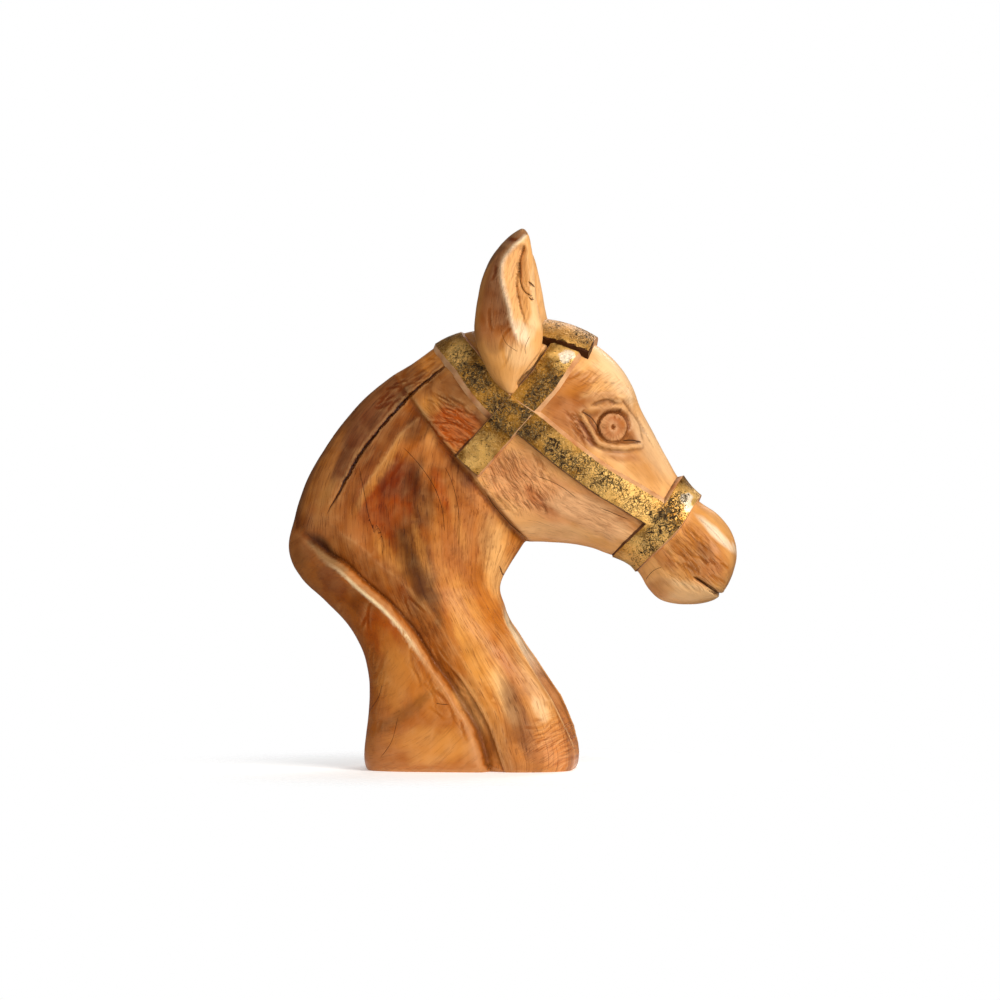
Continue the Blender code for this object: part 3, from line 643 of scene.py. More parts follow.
# Where the bands cross, which way the brow band runs there, how much higher it lies and how far.
CROSSING, CROSSING_WAY = (29.0, 243.0), (0.67, 0.74)
CROSSING_RISE, CROSSING_REACH = 1.5, 11.0

# Patches of a gilded band, as (x, z, radius, amount) on the right side: where the leaf has worn off
# to the dark ground, where it is burnished bright and where highlights are painted on it, and where the red
# clay below shows orange.
WORN = (
    (-6, 284, 9, 0.45), (4, 272, 9, 0.9), (-4, 277, 6, 0.8), (11, 264, 7, 0.7), (20, 249, 11, 0.8),
    (33, 248, 5, 0.5), (30, 234, 7, 0.6), (22, 240, 7, 1.0), (40, 243, 5, 0.9), (49, 234, 8, 0.75),
    (40, 233, 7, 0.85), (58, 222, 7, 0.9), (66, 212, 10, 0.8), (60, 224, 5, 0.7), (78, 209, 12, 0.65),
    (90, 200, 11, 0.6), (102, 196, 8, 0.5), (108, 186, 8, 0.4), (58, 262, 12, 0.9), (47, 258, 9, 0.7),
    (42, 248, 7, 0.9), (62, 272, 8, 0.5), (118, 184, 8, 0.5), (134, 171, 11, 0.95), (127, 163, 8, 0.75),
    (121, 152, 9, 0.6), (113, 146, 7, 0.3), (70, 278, 6, 0.4), (139, 182, 6, 0.7), (144, 188, 4, 0.7),
    (14, 226, 5, 0.3), (58, 312, 12, 0.4), (80, 300, 12, 0.5),
)
# burnished gold, and painted highlights where the light catches the bands
BURNISHED_AND_HIGHLIT = (
    (-8, 286, 9, 0.75), (118, 152, 12, 0.83), (130, 166, 9, 0.82), (67, 284, 11, 1.0), (74, 277, 8, 1.0),
    (147, 186, 9, 1.0), (84, 219, 7, 0.9), (100, 202, 9, 0.6), (113, 184, 16, 0.83), (121, 176, 9, 0.83),
    (10, 218, 12, 0.6), (3, 212, 7, 0.8), (128, 160, 9, 0.8), (113, 144, 12, 0.83), (16, 226, 6, 0.5),
    (75, 214, 5, 0.6), (97, 200, 22, 0.83), (66, 216, 14, 0.35), (148, 180, 7, 1.0), (60, 226, 10, 0.4),
)
ORANGE = (
    (121, 149, 4, 0.7), (114, 143, 4, 0.6), (126, 155, 4, 0.5), (58, 312, 22, 0.9), (72, 300, 16, 0.8),
    (22, 222, 6, 0.4),
)


def side_rays(path, steps):
    """Stops along a band on the right side: where it is, which way it faces, which way is across."""
    line = smooth_rows(path, steps)
    run = np.gradient(line, axis=0)
    run /= np.hypot(run[:, 0], run[:, 1])[:, None]
    return [(point, (0.0, -1.0, 0.0), (-way[1], way[0])) for point, way in zip(line, run)]


def fan_rays(pivot, top, steps, half_turn=90, bend=0.0):
    """Stops along a band that goes over the top, from the right side to the left.

    Its top may be bent back by millimetres from the plane of its sides.
    """
    pivot = np.array(pivot, float)
    up = (np.array(top) - pivot) / np.hypot(*(np.array(top) - pivot))
    across = np.array([-up[1], up[0]])
    turns = np.radians(np.linspace(-half_turn, half_turn, steps))
    return [(pivot + across * bend * max(math.cos(turn), 0) ** 2,
             (math.cos(turn) * up[0], math.sin(turn), math.cos(turn) * up[1]), across) for turn in turns]


def over_the_top(path, steps, fan):
    """A band that comes up the right side, goes over by the fan's stops, and down the left."""
    right = side_rays(path, steps)
    left = [(point, (0.0, 1.0, 0.0), across) for point, _, across in reversed(right)]
    return right + fan + left


class Track:
    """Where a band lies: for each stop the wood's points across it, and which way they face."""

    def __init__(self, surface, stops, width, columns, ray_length=RAY_LENGTH):
        self.shares = np.linspace(-0.5, 0.5, columns)
        self.facing = np.array([facing for _, facing, _ in stops])
        self.across = np.array([(across[0], 0.0, across[1]) for _, _, across in stops])
        self.wood = np.array([
            [self.hit(surface, point, facing, across, share * width, ray_length) for share in self.shares]
            for point, facing, across in stops])
        self.x, self.z = self.wood[..., 0], self.wood[..., 2]
        self.along = np.linspace(0, 1, len(stops))[:, None]

    @staticmethod
    def hit(surface, point, facing, across, aside, ray_length):
        start = Vector((point[0] + across[0] * aside, 0, point[1] + across[1] * aside))
        facing = Vector(facing)
        return surface.ray_cast((start + facing * ray_length) * MM, -facing)[0] / MM

    def raised(self, height, aside):
        """The wood's points moved out by a height and sideways, by millimetres for each of them."""
        outwards = self.facing[:, None, :] * np.asarray(height)[..., None]
        return self.wood + outwards + self.across[:, None, :] * aside[..., None]


# A band's shape: how proud it stands, and how far its two slanted sides reach, first the one on the
# side that the track's across points to.

def cheek_shape(track):
    """It lies flatter over the poll. Its rear side slants far out there, its upper side on the cheek."""
    over_poll = smoothstep(1 - np.abs(track.along - 0.5) / 0.08)
    height = CHEEK_BAND_HEIGHT + (POLL_BAND_HEIGHT - CHEEK_BAND_HEIGHT) * over_poll
    return height, 0.7 + 3.4 * ease(track.x, 24, 14), 0.8 + 1.4 * ease(track.x, 38, 46)


def brow_shape(track):
    """It lies over the cheek band where they cross. Above that its front side slants far out."""
    (x, z), (way_x, way_z) = CROSSING, CROSSING_WAY
    away = np.abs((track.x - x) * way_x + (track.z - z) * way_z)
    height = BROW_BAND_HEIGHT + CROSSING_RISE * smoothstep((CROSSING_REACH - away) / 1.2)
    return height, 0.6 + 0.9 * ease(track.z, 230, 222), 1.0 + 2.2 * ease(track.z, 242, 248)


def nose_shape(track):
    """It is thick over the nose and thin under the chin."""
    over_nose = smoothstep(1.25 - np.abs(track.along - 0.5) / 0.4)
    return CHIN_BAND_HEIGHT + (NOSE_BAND_HEIGHT - CHIN_BAND_HEIGHT) * over_nose, 2.3, 1.0


def patches(points, spots, seed, scale=5.0):
    """How much of any of the round spots each point has, with uneven edges."""
    uneven = Noise(seed).layers(points / scale) * 0.45
    amount = np.zeros(len(points))
    for x, z, radius, strength in spots:
        reach = np.hypot(points[:, 0] - x, points[:, 2] - z) / radius
        amount = np.maximum(amount, strength * smoothstep(1.35 - reach + uneven))
    return amount


def edge_wander(track, seed, size, least, most):
    """Sideways millimetres for each point of a band, whose two edges wander out unevenly."""
    def edge(points, number):
        return least + (most - least) * (0.5 + 0.5 * Noise(number).layers(points / size, 2))
    first = edge(track.wood[:, 0], seed)
    last = edge(track.wood[:, -1], seed + 1)
    share = 2 * track.shares[None, :]
    return np.where(share < 0, first[:, None], last[:, None]) * share


def end_wander(track, points, seed, least, most, rows=12):
    """Moves a band's two ends along it by an uneven amount of millimetres, and the rows behind with them."""
    for end, inwards in ((0, 1), (-1, -1)):
        way = np.cross(track.across[end], track.facing[end]) * inwards
        if np.dot(way, track.wood[end + inwards, 0] - track.wood[end, 0]) < 0:
            way = -way
        amount = least + (most - least) * (0.5 + 0.7 * Noise(seed).layers(track.wood[end] / 3.2))
        for row in range(rows):
            points[end + inwards * row] += way * amount[:, None] * (1 - row / rows)


def strap(name, track, shape, closed, ragged):
    """The wooden bar of a band: a flat top just under the gilding and slanted sides into the wood."""
    height, towards, against = shape
    outer = track.raised(height - GILDING, edge_wander(track, 21, 5.0, -0.15, 0.15))
    if ragged:
        end_wander(track, outer, 33, 0.0, ragged)
    outermost = np.sign(track.shares) * (np.abs(track.shares) > 0.49)
    flare = np.where(track.shares > 0, towards, against) * outermost
    foot, root = track.raised(-BAND_FOOT, flare), track.raised(-BAND_ROOT, flare)
    rings = [np.vstack([top, low[-1:], deep[::-1], low[:1]]) * MM
             for top, low, deep in zip(outer, foot, root)]
    return loft(name, rings, closed)


def gilding(name, track, height, closed, ends):
    """The gilded ground on a band: a thin uneven sheet with a ragged outline, let into the bar."""
    flat = track.wood.reshape(-1, 3)
    lumps = Noise(41).layers(flat / 3.1)
    scores = 1 - np.abs(Noise(42).layers(flat / 1.9))
    worn = patches(flat, WORN, 43)
    relief = 0.10 * lumps + (0.05 + 0.30 * worn) * (scores - 0.75)
    rise = height + relief.reshape(track.x.shape)
    aside = edge_wander(track, 44, 2.6, -0.75, 0.05)
    sheets = track.raised(rise, aside), track.raised(rise - 2 * GILDING, aside)
    if not closed:
        for sheet in sheets:
            end_wander(track, sheet, 46, *ends)
    return loft(name, [np.vstack([upper, lower[::-1]]) * MM for upper, lower in zip(*sheets)], closed)


def build_bridle(surface):
    """The four bands, each as a wooden bar and its gilding."""
    cheek = over_the_top(CHEEK_BAND[::-1], 22, fan_rays(POLL_PIVOT, POLL_TOP, steps=90))
    brow = over_the_top(BROW_BAND, 40, fan_rays(BROW_PIVOT, BROW_TOP, steps=120))
    forehead = fan_rays(FOREHEAD_PIVOT, FOREHEAD_TOP, steps=70, half_turn=FOREHEAD_BAND_TURN)
    nose = fan_rays(NOSE_PIVOT, NOSE_TOP, steps=241, half_turn=180, bend=NOSE_BAND_BEND)[:-1]
    cheek = Track(surface, cheek, CHEEK_BAND_WIDTH, columns=24)
    brow = Track(surface, brow, BROW_BAND_WIDTH, columns=24)
    forehead = Track(surface, forehead, FOREHEAD_BAND_WIDTH, columns=44)
    nose = Track(surface, nose, NOSE_BAND_WIDTH, columns=22, ray_length=NOSE_RAY_LENGTH)
    # Each band: its name, track and shape, whether it is a closed ring, how ragged its ends are.
    bands = (
        ("cheek", cheek, cheek_shape(cheek), False, 0.0),
        ("brow", brow, brow_shape(brow), False, 0.0),
        ("forehead", forehead, (FOREHEAD_BAND_HEIGHT, 0.8, 1.0), False, FOREHEAD_BAND_RAGGED),
        ("nose", nose, nose_shape(nose), True, 0.0),
    )
    bars, leaves = [], []
    for name, track, shape, closed, ragged in bands:
        bars.append(strap(f"{name}_band", track, shape, closed, ragged))
        ends = (0.8, ragged + 2.0) if ragged else (0.3, 1.0)
        leaves.append(gilding(f"{name}_gilding", track, shape[0], closed, ends))
    return bars, leaves


# ---------------------------------------------------------------- colour

def srgb(red, green, blue):
    """A colour from the usual 0 to 255 values, as the shader takes it."""
    def linear(value):
        value /= 255
        return value / 12.92 if value <= 0.04045 else ((value + 0.055) / 1.055) ** 2.4
    return np.array([linear(red), linear(green), linear(blue)])


# the colour of painted highlights
SHEEN = srgb(252, 236, 212)
CREAM = srgb(243, 203, 154)
PALE = srgb(237, 179, 114)
HONEY = srgb(210, 146, 74)
AMBER = srgb(188, 116, 44)
TAN = srgb(166, 94, 34)
RUST = srgb(118, 43, 2)
ORANGE_RED = srgb(172, 78, 6)
CHESTNUT = srgb(108, 53, 15)
WALNUT = srgb(66, 34, 13)
GREY_BROWN = srgb(112, 72, 34)
PINK = srgb(232, 160, 110)
ROSE = srgb(188, 118, 66)
# also painted shade: in the carving's hollows and on the bands' sides turned away from the light
SHADE_AND_DIRT = srgb(62, 28, 10)

VARNISH = np.array([1.06, 0.98, 0.76])   # what the varnish lets through of each colour on the neck

# Thin dark lines as points (x, z), with their half width: checks and seams in the wood, and painted shade in
# the mane's groove, at the foot of the jaw's step, in the mouth and in the eye's corners.
THIN_LINES = (
    # painted shade in the mane's groove
    (MANE_GROOVE, 0.5),
    (((-76, 211), (-74, 203), (-71, 190), (-68, 175), (-62, 160)), 0.16),
    (((-48, 224), (-40, 217), (-30, 206), (-22, 192), (-17, 176), (-15, 160)), 0.15),
    (((-18, 212), (-12, 200), (-8, 186), (-6, 170), (-7, 150)), 0.13),
    (((-68, 172), (-60, 166), (-57, 156), (-58, 146)), 0.14),
    (((-21, 47.2), (-16, 46.4), (-11.5, 46.6)), 0.2),
    (((25, 126), (21.5, 133), (20, 140)), 0.35),
    # painted shade at the foot of the jaw's step
    (((12, 190), (24, 173), (36, 160)), 0.26),
    (((24, 300), (28, 292), (36, 286)), 0.12),
    (((43, 298), (40, 290), (41, 284)), 0.12),
    (((46, 202), (55, 199), (66, 193), (74, 186)), 0.16),
    (((88, 181), (100, 176), (109, 172)), 0.18),
    (((-85, 30), (-72, 36), (-62, 48), (-58, 62)), 0.14),
    (((-60, 8), (-50, 22), (-46, 40)), 0.12),
    # painted shade in the mouth
    (MOUTH_LINE, 0.45),
    (EAR_KNOTS[0], 0.45),
    (EAR_KNOTS[1], 0.30),
    (EAR_FOLD, 0.2),
    (((118, 130), (124, 137), (131, 140)), 0.14),
    # painted shade in the rear and front corners of the eye
    (((76.6, 246.4), (84, 241), (89, 233)), 0.30),
    (((104, 226), (110, 226.4), (117, 225)), 0.35),
)

# Patches of colour in the wood, a few of them painted highlights and painted light: middle (x, z), half
# length, half width, tilt in degrees, colour, strength.
STAINS = (
    # the neck: the orange patch with its dark upper edge, and the streaks beside and below it
    ((-50, 188), 27, 19, 100, RUST, 1.0),
    ((-48, 198), 17, 15, 60, RUST, 0.9),
    ((-57, 180), 23, 17, 100, ORANGE_RED, 1.0),
    ((-57, 180), 22, 16, 100, RUST, 0.4),
    ((-48, 196), 9, 13, 90, RUST, 0.9),
    ((-30, 186), 20, 8, 98, CHESTNUT, 0.9),
    ((-36, 204), 14, 5, 60, WALNUT, 0.4),
    ((-4, 205), 15, 6, 120, GREY_BROWN, 0.5),
    ((-15, 187), 20, 4, 112, ORANGE_RED, 0.85),
    ((-8, 172), 22, 3.5, 104, HONEY, 0.5),
    ((-34, 236), 15, 8, 60, WALNUT, 0.6),
    ((-18, 224), 14, 5, 120, CHESTNUT, 0.6),
    ((-52, 232), 34, 7, 52, CHESTNUT, 0.45),
    ((-62, 202), 30, 3.5, 58, HONEY, 0.6),
    ((-34, 138), 40, 12, 106, GREY_BROWN, 0.75),
    ((-38, 142), 30, 4, 106, WALNUT, 0.5),
    ((-30, 146), 24, 2.5, 104, HONEY, 0.5),
    ((-26, 122), 26, 6, 112, WALNUT, 0.55),
    ((-20, 150), 34, 4, 98, HONEY, 0.25),
    ((-56, 150), 18, 5, 118, HONEY, 0.5),
    ((-47, 128), 22, 5, 120, RUST, 0.5),
    ((-75, 158), 14, 8, 100, ROSE, 0.5),
    ((3, 90), 40, 10, 106, HONEY, 0.85),
    ((-8, 110), 30, 5, 106, HONEY, 0.45),
    ((17, 144), 30, 10, 92, PALE, 0.8),
    ((17, 142), 22, 6, 92, CREAM, 0.3),
    ((24, 56), 26, 7, 112, PALE, 0.85),
    ((25, 54), 20, 5, 112, CREAM, 0.6),
    ((3, 45), 22, 7, 118, PALE, 0.85),
    ((40, 66), 34, 5, 122, CREAM, 0.6),
    ((-100, 182), 18, 6, 66, HONEY, 0.5),
    ((44, 60), 46, 9, 112, HONEY, 0.6),
    ((24, 88), 34, 6, 110, AMBER, 0.7),
    ((34, 38), 30, 7, 110, CHESTNUT, 0.65),
    ((20, 30), 28, 6, 104, HONEY, 0.4),
    ((50, 42), 8, 4, 120, CREAM, 0.7),
    ((66, 18), 20, 13, 100, ROSE, 0.6),
    ((60, 14), 18, 9, 0, PINK, 0.15),
    ((6, 22), 22, 6, 110, TAN, 0.8),
    # the mane and the crest
    ((-44, 268), 14, 9, 45, CHESTNUT, 0.8),
    ((-22, 286), 16, 7, 40, AMBER, 0.6),
    ((-66, 240), 22, 8, 50, RUST, 0.55),
    ((-80, 226), 24, 10, 55, CHESTNUT, 0.4),
    ((-104, 196), 34, 6, 66, AMBER, 0.6),
    ((-58, 246), 16, 7, 48, CHESTNUT, 0.8),
    ((-46, 256), 9, 4, 60, WALNUT, 0.5),
    ((-92, 182), 16, 6, 66, TAN, 0.7),
    ((-114, 160), 20, 9, 80, CHESTNUT, 0.4),
    ((-98, 150), 20, 6, 132, WALNUT, 0.85),
    ((-106, 172), 12, 7, 90, ROSE, 0.4),
    # the shoulder
    ((-92, 128), 18, 7, 135, RUST, 0.7),
    ((-70, 112), 16, 9, 130, CHESTNUT, 0.6),
    ((-60, 96), 19, 12, -50, ORANGE_RED, 0.6),
    ((-52, 84), 18, 6, 120, AMBER, 0.6),
    ((-48, 64), 24, 14, 80, HONEY, 0.45),
    ((-30, 56), 20, 9, 118, AMBER, 0.6),
    ((-66, 44), 14, 10, 40, TAN, 0.6),
    ((-42, 40), 26, 5, 35, GREY_BROWN, 0.5),
    ((-20, 18), 24, 12, 0, HONEY, 0.6),
    ((-58, 14), 14, 14, 90, TAN, 0.6),
    ((-40, 20), 18, 6, -10, AMBER, 0.5),
    # the head behind the bands, and the jaw
    ((3, 297), 8, 5, 0, CHESTNUT, 0.4),
    ((-12, 260), 24, 14, -44, CHESTNUT, 0.75),
    ((-8, 236), 19, 12, -46, RUST, 0.5),
    ((-6, 233), 19, 13, -50, ORANGE_RED, 0.95),
    ((12, 240), 10, 3.5, -40, CHESTNUT, 0.7),
    ((-26, 250.5), 7, 6, -25, HONEY, 0.5),
    ((8, 208), 16, 4, 50, CHESTNUT, 0.6),
    ((40, 190), 42, 20, -36, PINK, 0.65),
    ((86, 176), 34, 12, -32, PINK, 0.5),
    ((28, 207), 14, 8, -30, ROSE, 0.5),
    ((44, 188), 9, 4, -60, ORANGE_RED, 0.5),
    ((56, 180), 7, 4, -50, ORANGE_RED, 0.5),
    ((50, 219), 16, 9, -35, TAN, 0.4),
    ((40, 172), 22, 7, -30, PALE, 0.6),
    ((58, 164), 26, 6, -6, CREAM, 0.5),
    ((84, 186), 16, 9, -35, ROSE, 0.35),
    ((92, 166), 20, 6, -12, HONEY, 0.3),
    # painted light on the lower cheek, which turns down out of the light
    ((84, 174), 28, 10, -28, CREAM, 0.8),
    ((82, 175), 26, 9, -30, PINK, 0.4),
    ((111, 171), 14, 6, -30, TAN, 0.5),
    ((146, 124), 24, 7, -8, CREAM, 0.8),
    # the face and the eye
    ((66, 258), 20, 14, 50, TAN, 0.95),
    ((72, 252), 16, 9, 40, CHESTNUT, 0.2),
    ((98, 253), 12, 2.5, 5, CHESTNUT, 0.5),
    ((76, 266), 16, 7, 30, AMBER, 0.8),
    ((62, 240), 16, 8, 52, ROSE, 0.7),
    ((76, 234), 15, 8, -55, TAN, 0.85),
    ((88, 256), 14, 4, 10, TAN, 0.6),
    ((97, 236), 23, 16, -28, TAN, 0.85),
    ((82, 232), 9, 6, -60, RUST, 0.35),
    ((99.3, 235.9), 10, 10, 0, ROSE, 1.0),
    ((99.3, 235.9), 10, 10, 0, TAN, 0.7),
    ((116, 206), 17, 9, -60, HONEY, 0.75),
    ((104, 215), 12, 4, -8, TAN, 0.6),
    ((124, 222), 26, 8, -62, CREAM, 0.6),
    ((118, 212), 20, 9, -50, TAN, 0.3),
    ((100, 278), 28, 14, -48, CREAM, 0.85),
    # the ear
    ((18, 318), 5, 22, -4, TAN, 0.5),
    ((30, 303), 5, 6, 0, ORANGE_RED, 0.5),
    ((20, 292), 8, 7, 0, CHESTNUT, 0.45),
    ((36, 286), 10, 10, 0, CREAM, 0.5),
    ((39, 336), 4, 16, 0, AMBER, 0.45),
    ((45, 326), 3, 24, 6, CREAM, 0.6),
    # a painted highlight low on the ear's front
    ((37, 300), 4, 9, 20, SHEEN, 0.6),
    ((44, 304), 3, 8, 0, CREAM, 0.6),
    # the muzzle
    ((158, 148), 26, 17, -50, AMBER, 0.75),
    ((164, 144), 10, 6, -50, TAN, 0.5),
    ((162, 153), 16, 7, -50, AMBER, 0.9),
    ((160, 150), 9, 5, -50, CHESTNUT, 0.5),
    ((148, 142), 20, 10, -42, AMBER, 0.35),
    ((150, 143), 14, 5, -42, TAN, 0.6),
    ((154, 146), 20, 10, -42, CHESTNUT, 0.22),
    ((132, 146), 12, 6, -50, TAN, 0.7),
    ((166, 136), 10, 8, -60, TAN, 0.6),
    ((128, 124), 10, 7, 20, AMBER, 0.7),
    ((148, 122), 16, 5, -10, PALE, 0.4),
    # a painted highlight along the edge of the nose's flat
    ((168, 161.5), 17, 3.0, -45, SHEEN, 0.75),
)

# What the grain runs along: a line of points (x, z), half width and half depth round it, its length.
NECK_FLOW = (((-10, 290), (-28, 262), (-42, 228), (-50, 185), (-44, 140), (-30, 100), (-12, 55), (5, 0)),
             52, 38, 320)
HEAD_FLOW = (((-10, 262), (40, 232), (90, 200), (140, 160), (170, 128)), 36, 30, 240)
EAR_FLOW = (((36, 372), (27, 320), (30, 250)), 19, 11, 120)
SHOULDER_EYE = (-78, 96)     # the middle of the growth lines on the shoulder
SHOULDER_ROUND, SHOULDER_APART = 60, 2000    # their length for a radian, and how far from other grain
EARS_FROM, ALL_EARS = 259, 306    # the heights where the ears start, and above which all is ear
NO_LINE = 9.0                # millimetres to a thin line where none is near
BAND_LINES_AND_CALM = (NO_LINE, 0, 0.8)    # for the bands' bare wood: no thin lines, and calm grain


def mark_strokes(points):
    """Where knife marks show: the place across and along their strokes in millimetres, how strong."""
    x, z = points[:, 0], points[:, 2]
    strokes = np.zeros((len(points), 3))
    uneven = Noise(81).layers(points / 7) * 0.4
    bent = 1.6 * Noise(82)(points / 9)
    for *area, angle, amount, _, _, _ in MARKS:
        here = amount * smoothstep((1.25 - in_ellipse(x, z, *area) + uneven) / 0.7)
        along, across = turned(x, z, area[0], angle)
        stronger = here > strokes[:, 2]
        strokes[stronger] = np.stack([across + bent, along, here], 1)[stronger]
    dx, dz = x - EYE_MIDDLE[0], z - EYE_MIDDLE[1]
    out, turn = np.hypot(dx, dz), np.arctan2(dz, dx)
    on_ball = (out < EYEBALL + 0.5) & (np.abs(points[:, 1]) > EYE_SIDE)
    strokes[on_ball] = np.stack([turn * 8, out, 0.45 * ease(out, 2, 7)], 1)[on_ball]
    return strokes


def thin_lines(points, normals):
    """The signed distance in millimetres to the nearest thin dark line, and its half width there."""
    x, z = points[:, 0], points[:, 2]
    rough, even = x + 1.1 * knife_wander(points), x + 0.8 * Noise(9)(points / 14)
    nearest = np.full(len(x), NO_LINE)
    lines = np.tile((NO_LINE, 0.0), (len(x), 1))
    outside = (z < 300) | (normals[:, 1] * points[:, 1] > 0)
    for path, half_width in THIN_LINES:
        away, side, along = path_reading(path, rough if path is MANE_GROOVE else even, z)
        here = (away < nearest) & (away < 5)
        nearest[here] = away[here]
        shown = taper(along, 0.15, 0.15) * (away < 3) * outside
        lines[here] = np.stack([away * side, half_width * shown], 1)[here]
    return lines


def zone_masks(x, z):
    """How much each point belongs to the head, the mane, the shoulder and the ears, from 0 to 1."""
    away, side, _ = path_reading(JAW_LINE, x, z)
    head = np.where(side > 0, 1.0, clamped(1 - away / 1.5))
    away, side, _ = path_reading(MANE_GROOVE, x, z)
    mane = smoothstep((3.0 - np.where(side < 0, -away, away)) / 4.0) * (z > 165) * (1 - head)
    away, side, _ = path_reading(SHOULDER_GROOVE, x, z)
    shoulder = smoothstep(0.5 + np.where(side < 0, away, -away) / 2.5) * (z < 172) * (1 - head)
    back, front, _ = at_height(z, EAR_OUTLINE)
    ear = (z > ALL_EARS) | ((z > EARS_FROM) & (x > back - 3) & (x < front + 6))
    return head, mane, shoulder, ear.astype(float)


def wrapped(points, path, half_width, half_depth, length, middle=0):
    """A place in the grain for a bar along a path: millimetres round it, and millimetres along it."""
    away, side, along = path_reading(path, points[:, 0], points[:, 2])
    across = away * side / half_width
    out = (np.abs(points[:, 1]) - middle) / half_depth
    turn = np.arccos(np.clip(across / (np.hypot(across, out) + TINY), -1, 1))
    return np.stack([turn * (half_width + half_depth) / 2, along * length], 1)


def grain_of(points, zones):
    """Each point's place in the wood's grain in millimetres: across it, along it, and into it."""
    head, _, shoulder, ear = zones
    dx, dz = points[:, 0] - SHOULDER_EYE[0], points[:, 2] - SHOULDER_EYE[1]
    on_shoulder = np.stack([np.hypot(dx, dz), np.arctan2(dz, dx) * SHOULDER_ROUND + SHOULDER_APART], 1)
    ear_middle = at_height(points[:, 2], EAR_OUTLINE)[2]
    grain = np.zeros((len(points), 3))
    grain[:, :2] = wrapped(points, *NECK_FLOW)
    for zone, place in ((head, wrapped(points, *HEAD_FLOW)), (shoulder, on_shoulder),
                        (ear, wrapped(points, *EAR_FLOW, ear_middle))):
        grain[:, :2] = np.where((zone > 0.5)[:, None], place, grain[:, :2])
    grain[:, 0] += 3.2 * Noise(51).layers(points / 42, 2) + 0.35 * Noise(52).layers(points / 10, 2)
    grain[:, 2] = points[:, 1] * 0.1
    return grain


def hollowness(paint, steps, reach):
    """From 1 in a groove to -1 on an edge, by how far a smoothed surface lies above each point."""
    count = len(paint.points)
    edges = np.empty(len(paint.mesh.edges) * 2, np.int32)
    paint.mesh.edges.foreach_get("vertices", edges)
    first, second = edges.reshape(-1, 2).T
    neighbours = np.maximum(np.bincount(edges, minlength=count)[:, None], 1)
    smooth = paint.points.copy()
    for _ in range(steps):
        total = np.stack([np.bincount(first, smooth[second, i], count)
                          + np.bincount(second, smooth[first, i], count) for i in range(3)], 1)
        smooth = total / neighbours
    return np.clip(np.sum((smooth - paint.points) * paint.normals, axis=1) / reach, -1, 1)


def blend(colours, other, amount):
    return colours + (other - colours) * amount[:, None]


class Paint:
    """The wood's colour at each point, built up from layers that are blended over one another."""

    def __init__(self, mesh):
        self.mesh = mesh
        self.points, self.normals = points_of(mesh), normals_of(mesh)
        self.x, self.z = self.points[:, 0], self.points[:, 2]
        self.outer = smoothstep(outward_share(self.points, self.normals) / FACING_BLEND)
        self.zones = zone_masks(self.x, self.z)
        self.ear = self.zones[3]
        self.grain = grain_of(self.points, self.zones)
        self.streaks = (Noise(61).layers(self.grain * (1 / 6, 1 / 38, 1)) * 0.34
                        + Noise(62).layers(self.points / 6) * 0.22)
        self.from_rim, self.rim_side, _ = self.read(EAR_RIM)
        _, hollow_side, _ = self.read(EAR_HOLLOW)
        self.outer_ear = self.ear * ease(self.z, 286, 302) * self.outer
        self.in_ear = self.outer_ear * (self.rim_side > 0) * (hollow_side <= 0)
        self.tones = np.tile(TAN, (len(self.points), 1))

    def read(self, line):
        return path_reading(line, self.x, self.z)

    def lay(self, *layers):
        """Blends colours in, each by its own amount at each point, from 0 to 1."""
        for colour, amount in layers:
            self.tones = blend(self.tones, colour, amount)


def lay_zones(paint):
    """The ground of each zone: paler to the front, dark on the mane, which is partly its stain and partly
    painted shade.
    """
    x, z = paint.x, paint.z
    head, mane, shoulder, ear = paint.zones
    paint.lay(
        (AMBER, smoothstep((x + 40 - (z - 100) * 0.1) / 60) * 0.8),
        (TAN, shoulder * 0.7),
        # the mane's dark: partly stain, partly painted shade
        (CHESTNUT, mane * 0.9),
        (AMBER, head),
        (HONEY, head * ease(x, -50, 0)),
        (PALE, head * (0.75 * ease(x, -12, 18) + 0.1 * ease(x, 70, 110))),
        (HONEY, ease(x, 130, 155) * head * 0.8),
        (HONEY, ear),
        (PALE, ear * ease(x, 22, 36) * 0.5),
    )


def lay_stains(paint):
    """The patches of colour, drawn out along the grain and fainter on the left."""
    strengths = np.where(paint.points[:, 1] < 0, 1.0, LEFT_STAINS)
    for *area, colour, strength in STAINS:
        reach = in_ellipse(paint.x, paint.z, *area) + paint.streaks
        paint.lay((colour, strength * strengths * smoothstep((1.3 - reach) / 0.7)))


def lay_ears(paint):
    """The ears: brown on the outer face, with painted shade towards the rim and on the facet behind the back
    edge, paler on the wall inside the rim, partly painted light, and a painted highlight on the rim.
    """
    x, z = paint.x, paint.z
    from_back, back_side, _ = paint.read(EAR_BACK_EDGE)
    back = paint.ear * (back_side < 0) * smoothstep(from_back / 1.2) * ease(z, 322, 336)
    from_edge = x - at_height(z, EAR_OUTLINE)[0]
    face = paint.outer_ear * (paint.rim_side <= 0) * (0.4 + 0.6 * ease(from_edge, 1, 6))
    paint.lay(
        (TAN, face),
        # painted shade on the outer face where it turns away from the light beside the rim
        (CHESTNUT, face * clamped(1.4 - paint.from_rim / 14) * ease(z, 292, 308) * 0.9),
        (WALNUT, face * clamped(1.2 - paint.from_rim / 5) * ease(z, 300, 314) * 0.4),
        # painted shade on the facet behind the back edge
        (CHESTNUT, back * 0.5),
        (RUST, back * 0.4),
        (WALNUT, back * paint.outer * 0.6),
        (CREAM, paint.in_ear * 0.35),
        # a painted highlight along the rim
        (SHEEN, paint.outer_ear * clamped(1.2 - paint.from_rim / 1.6) * 0.5),
    )


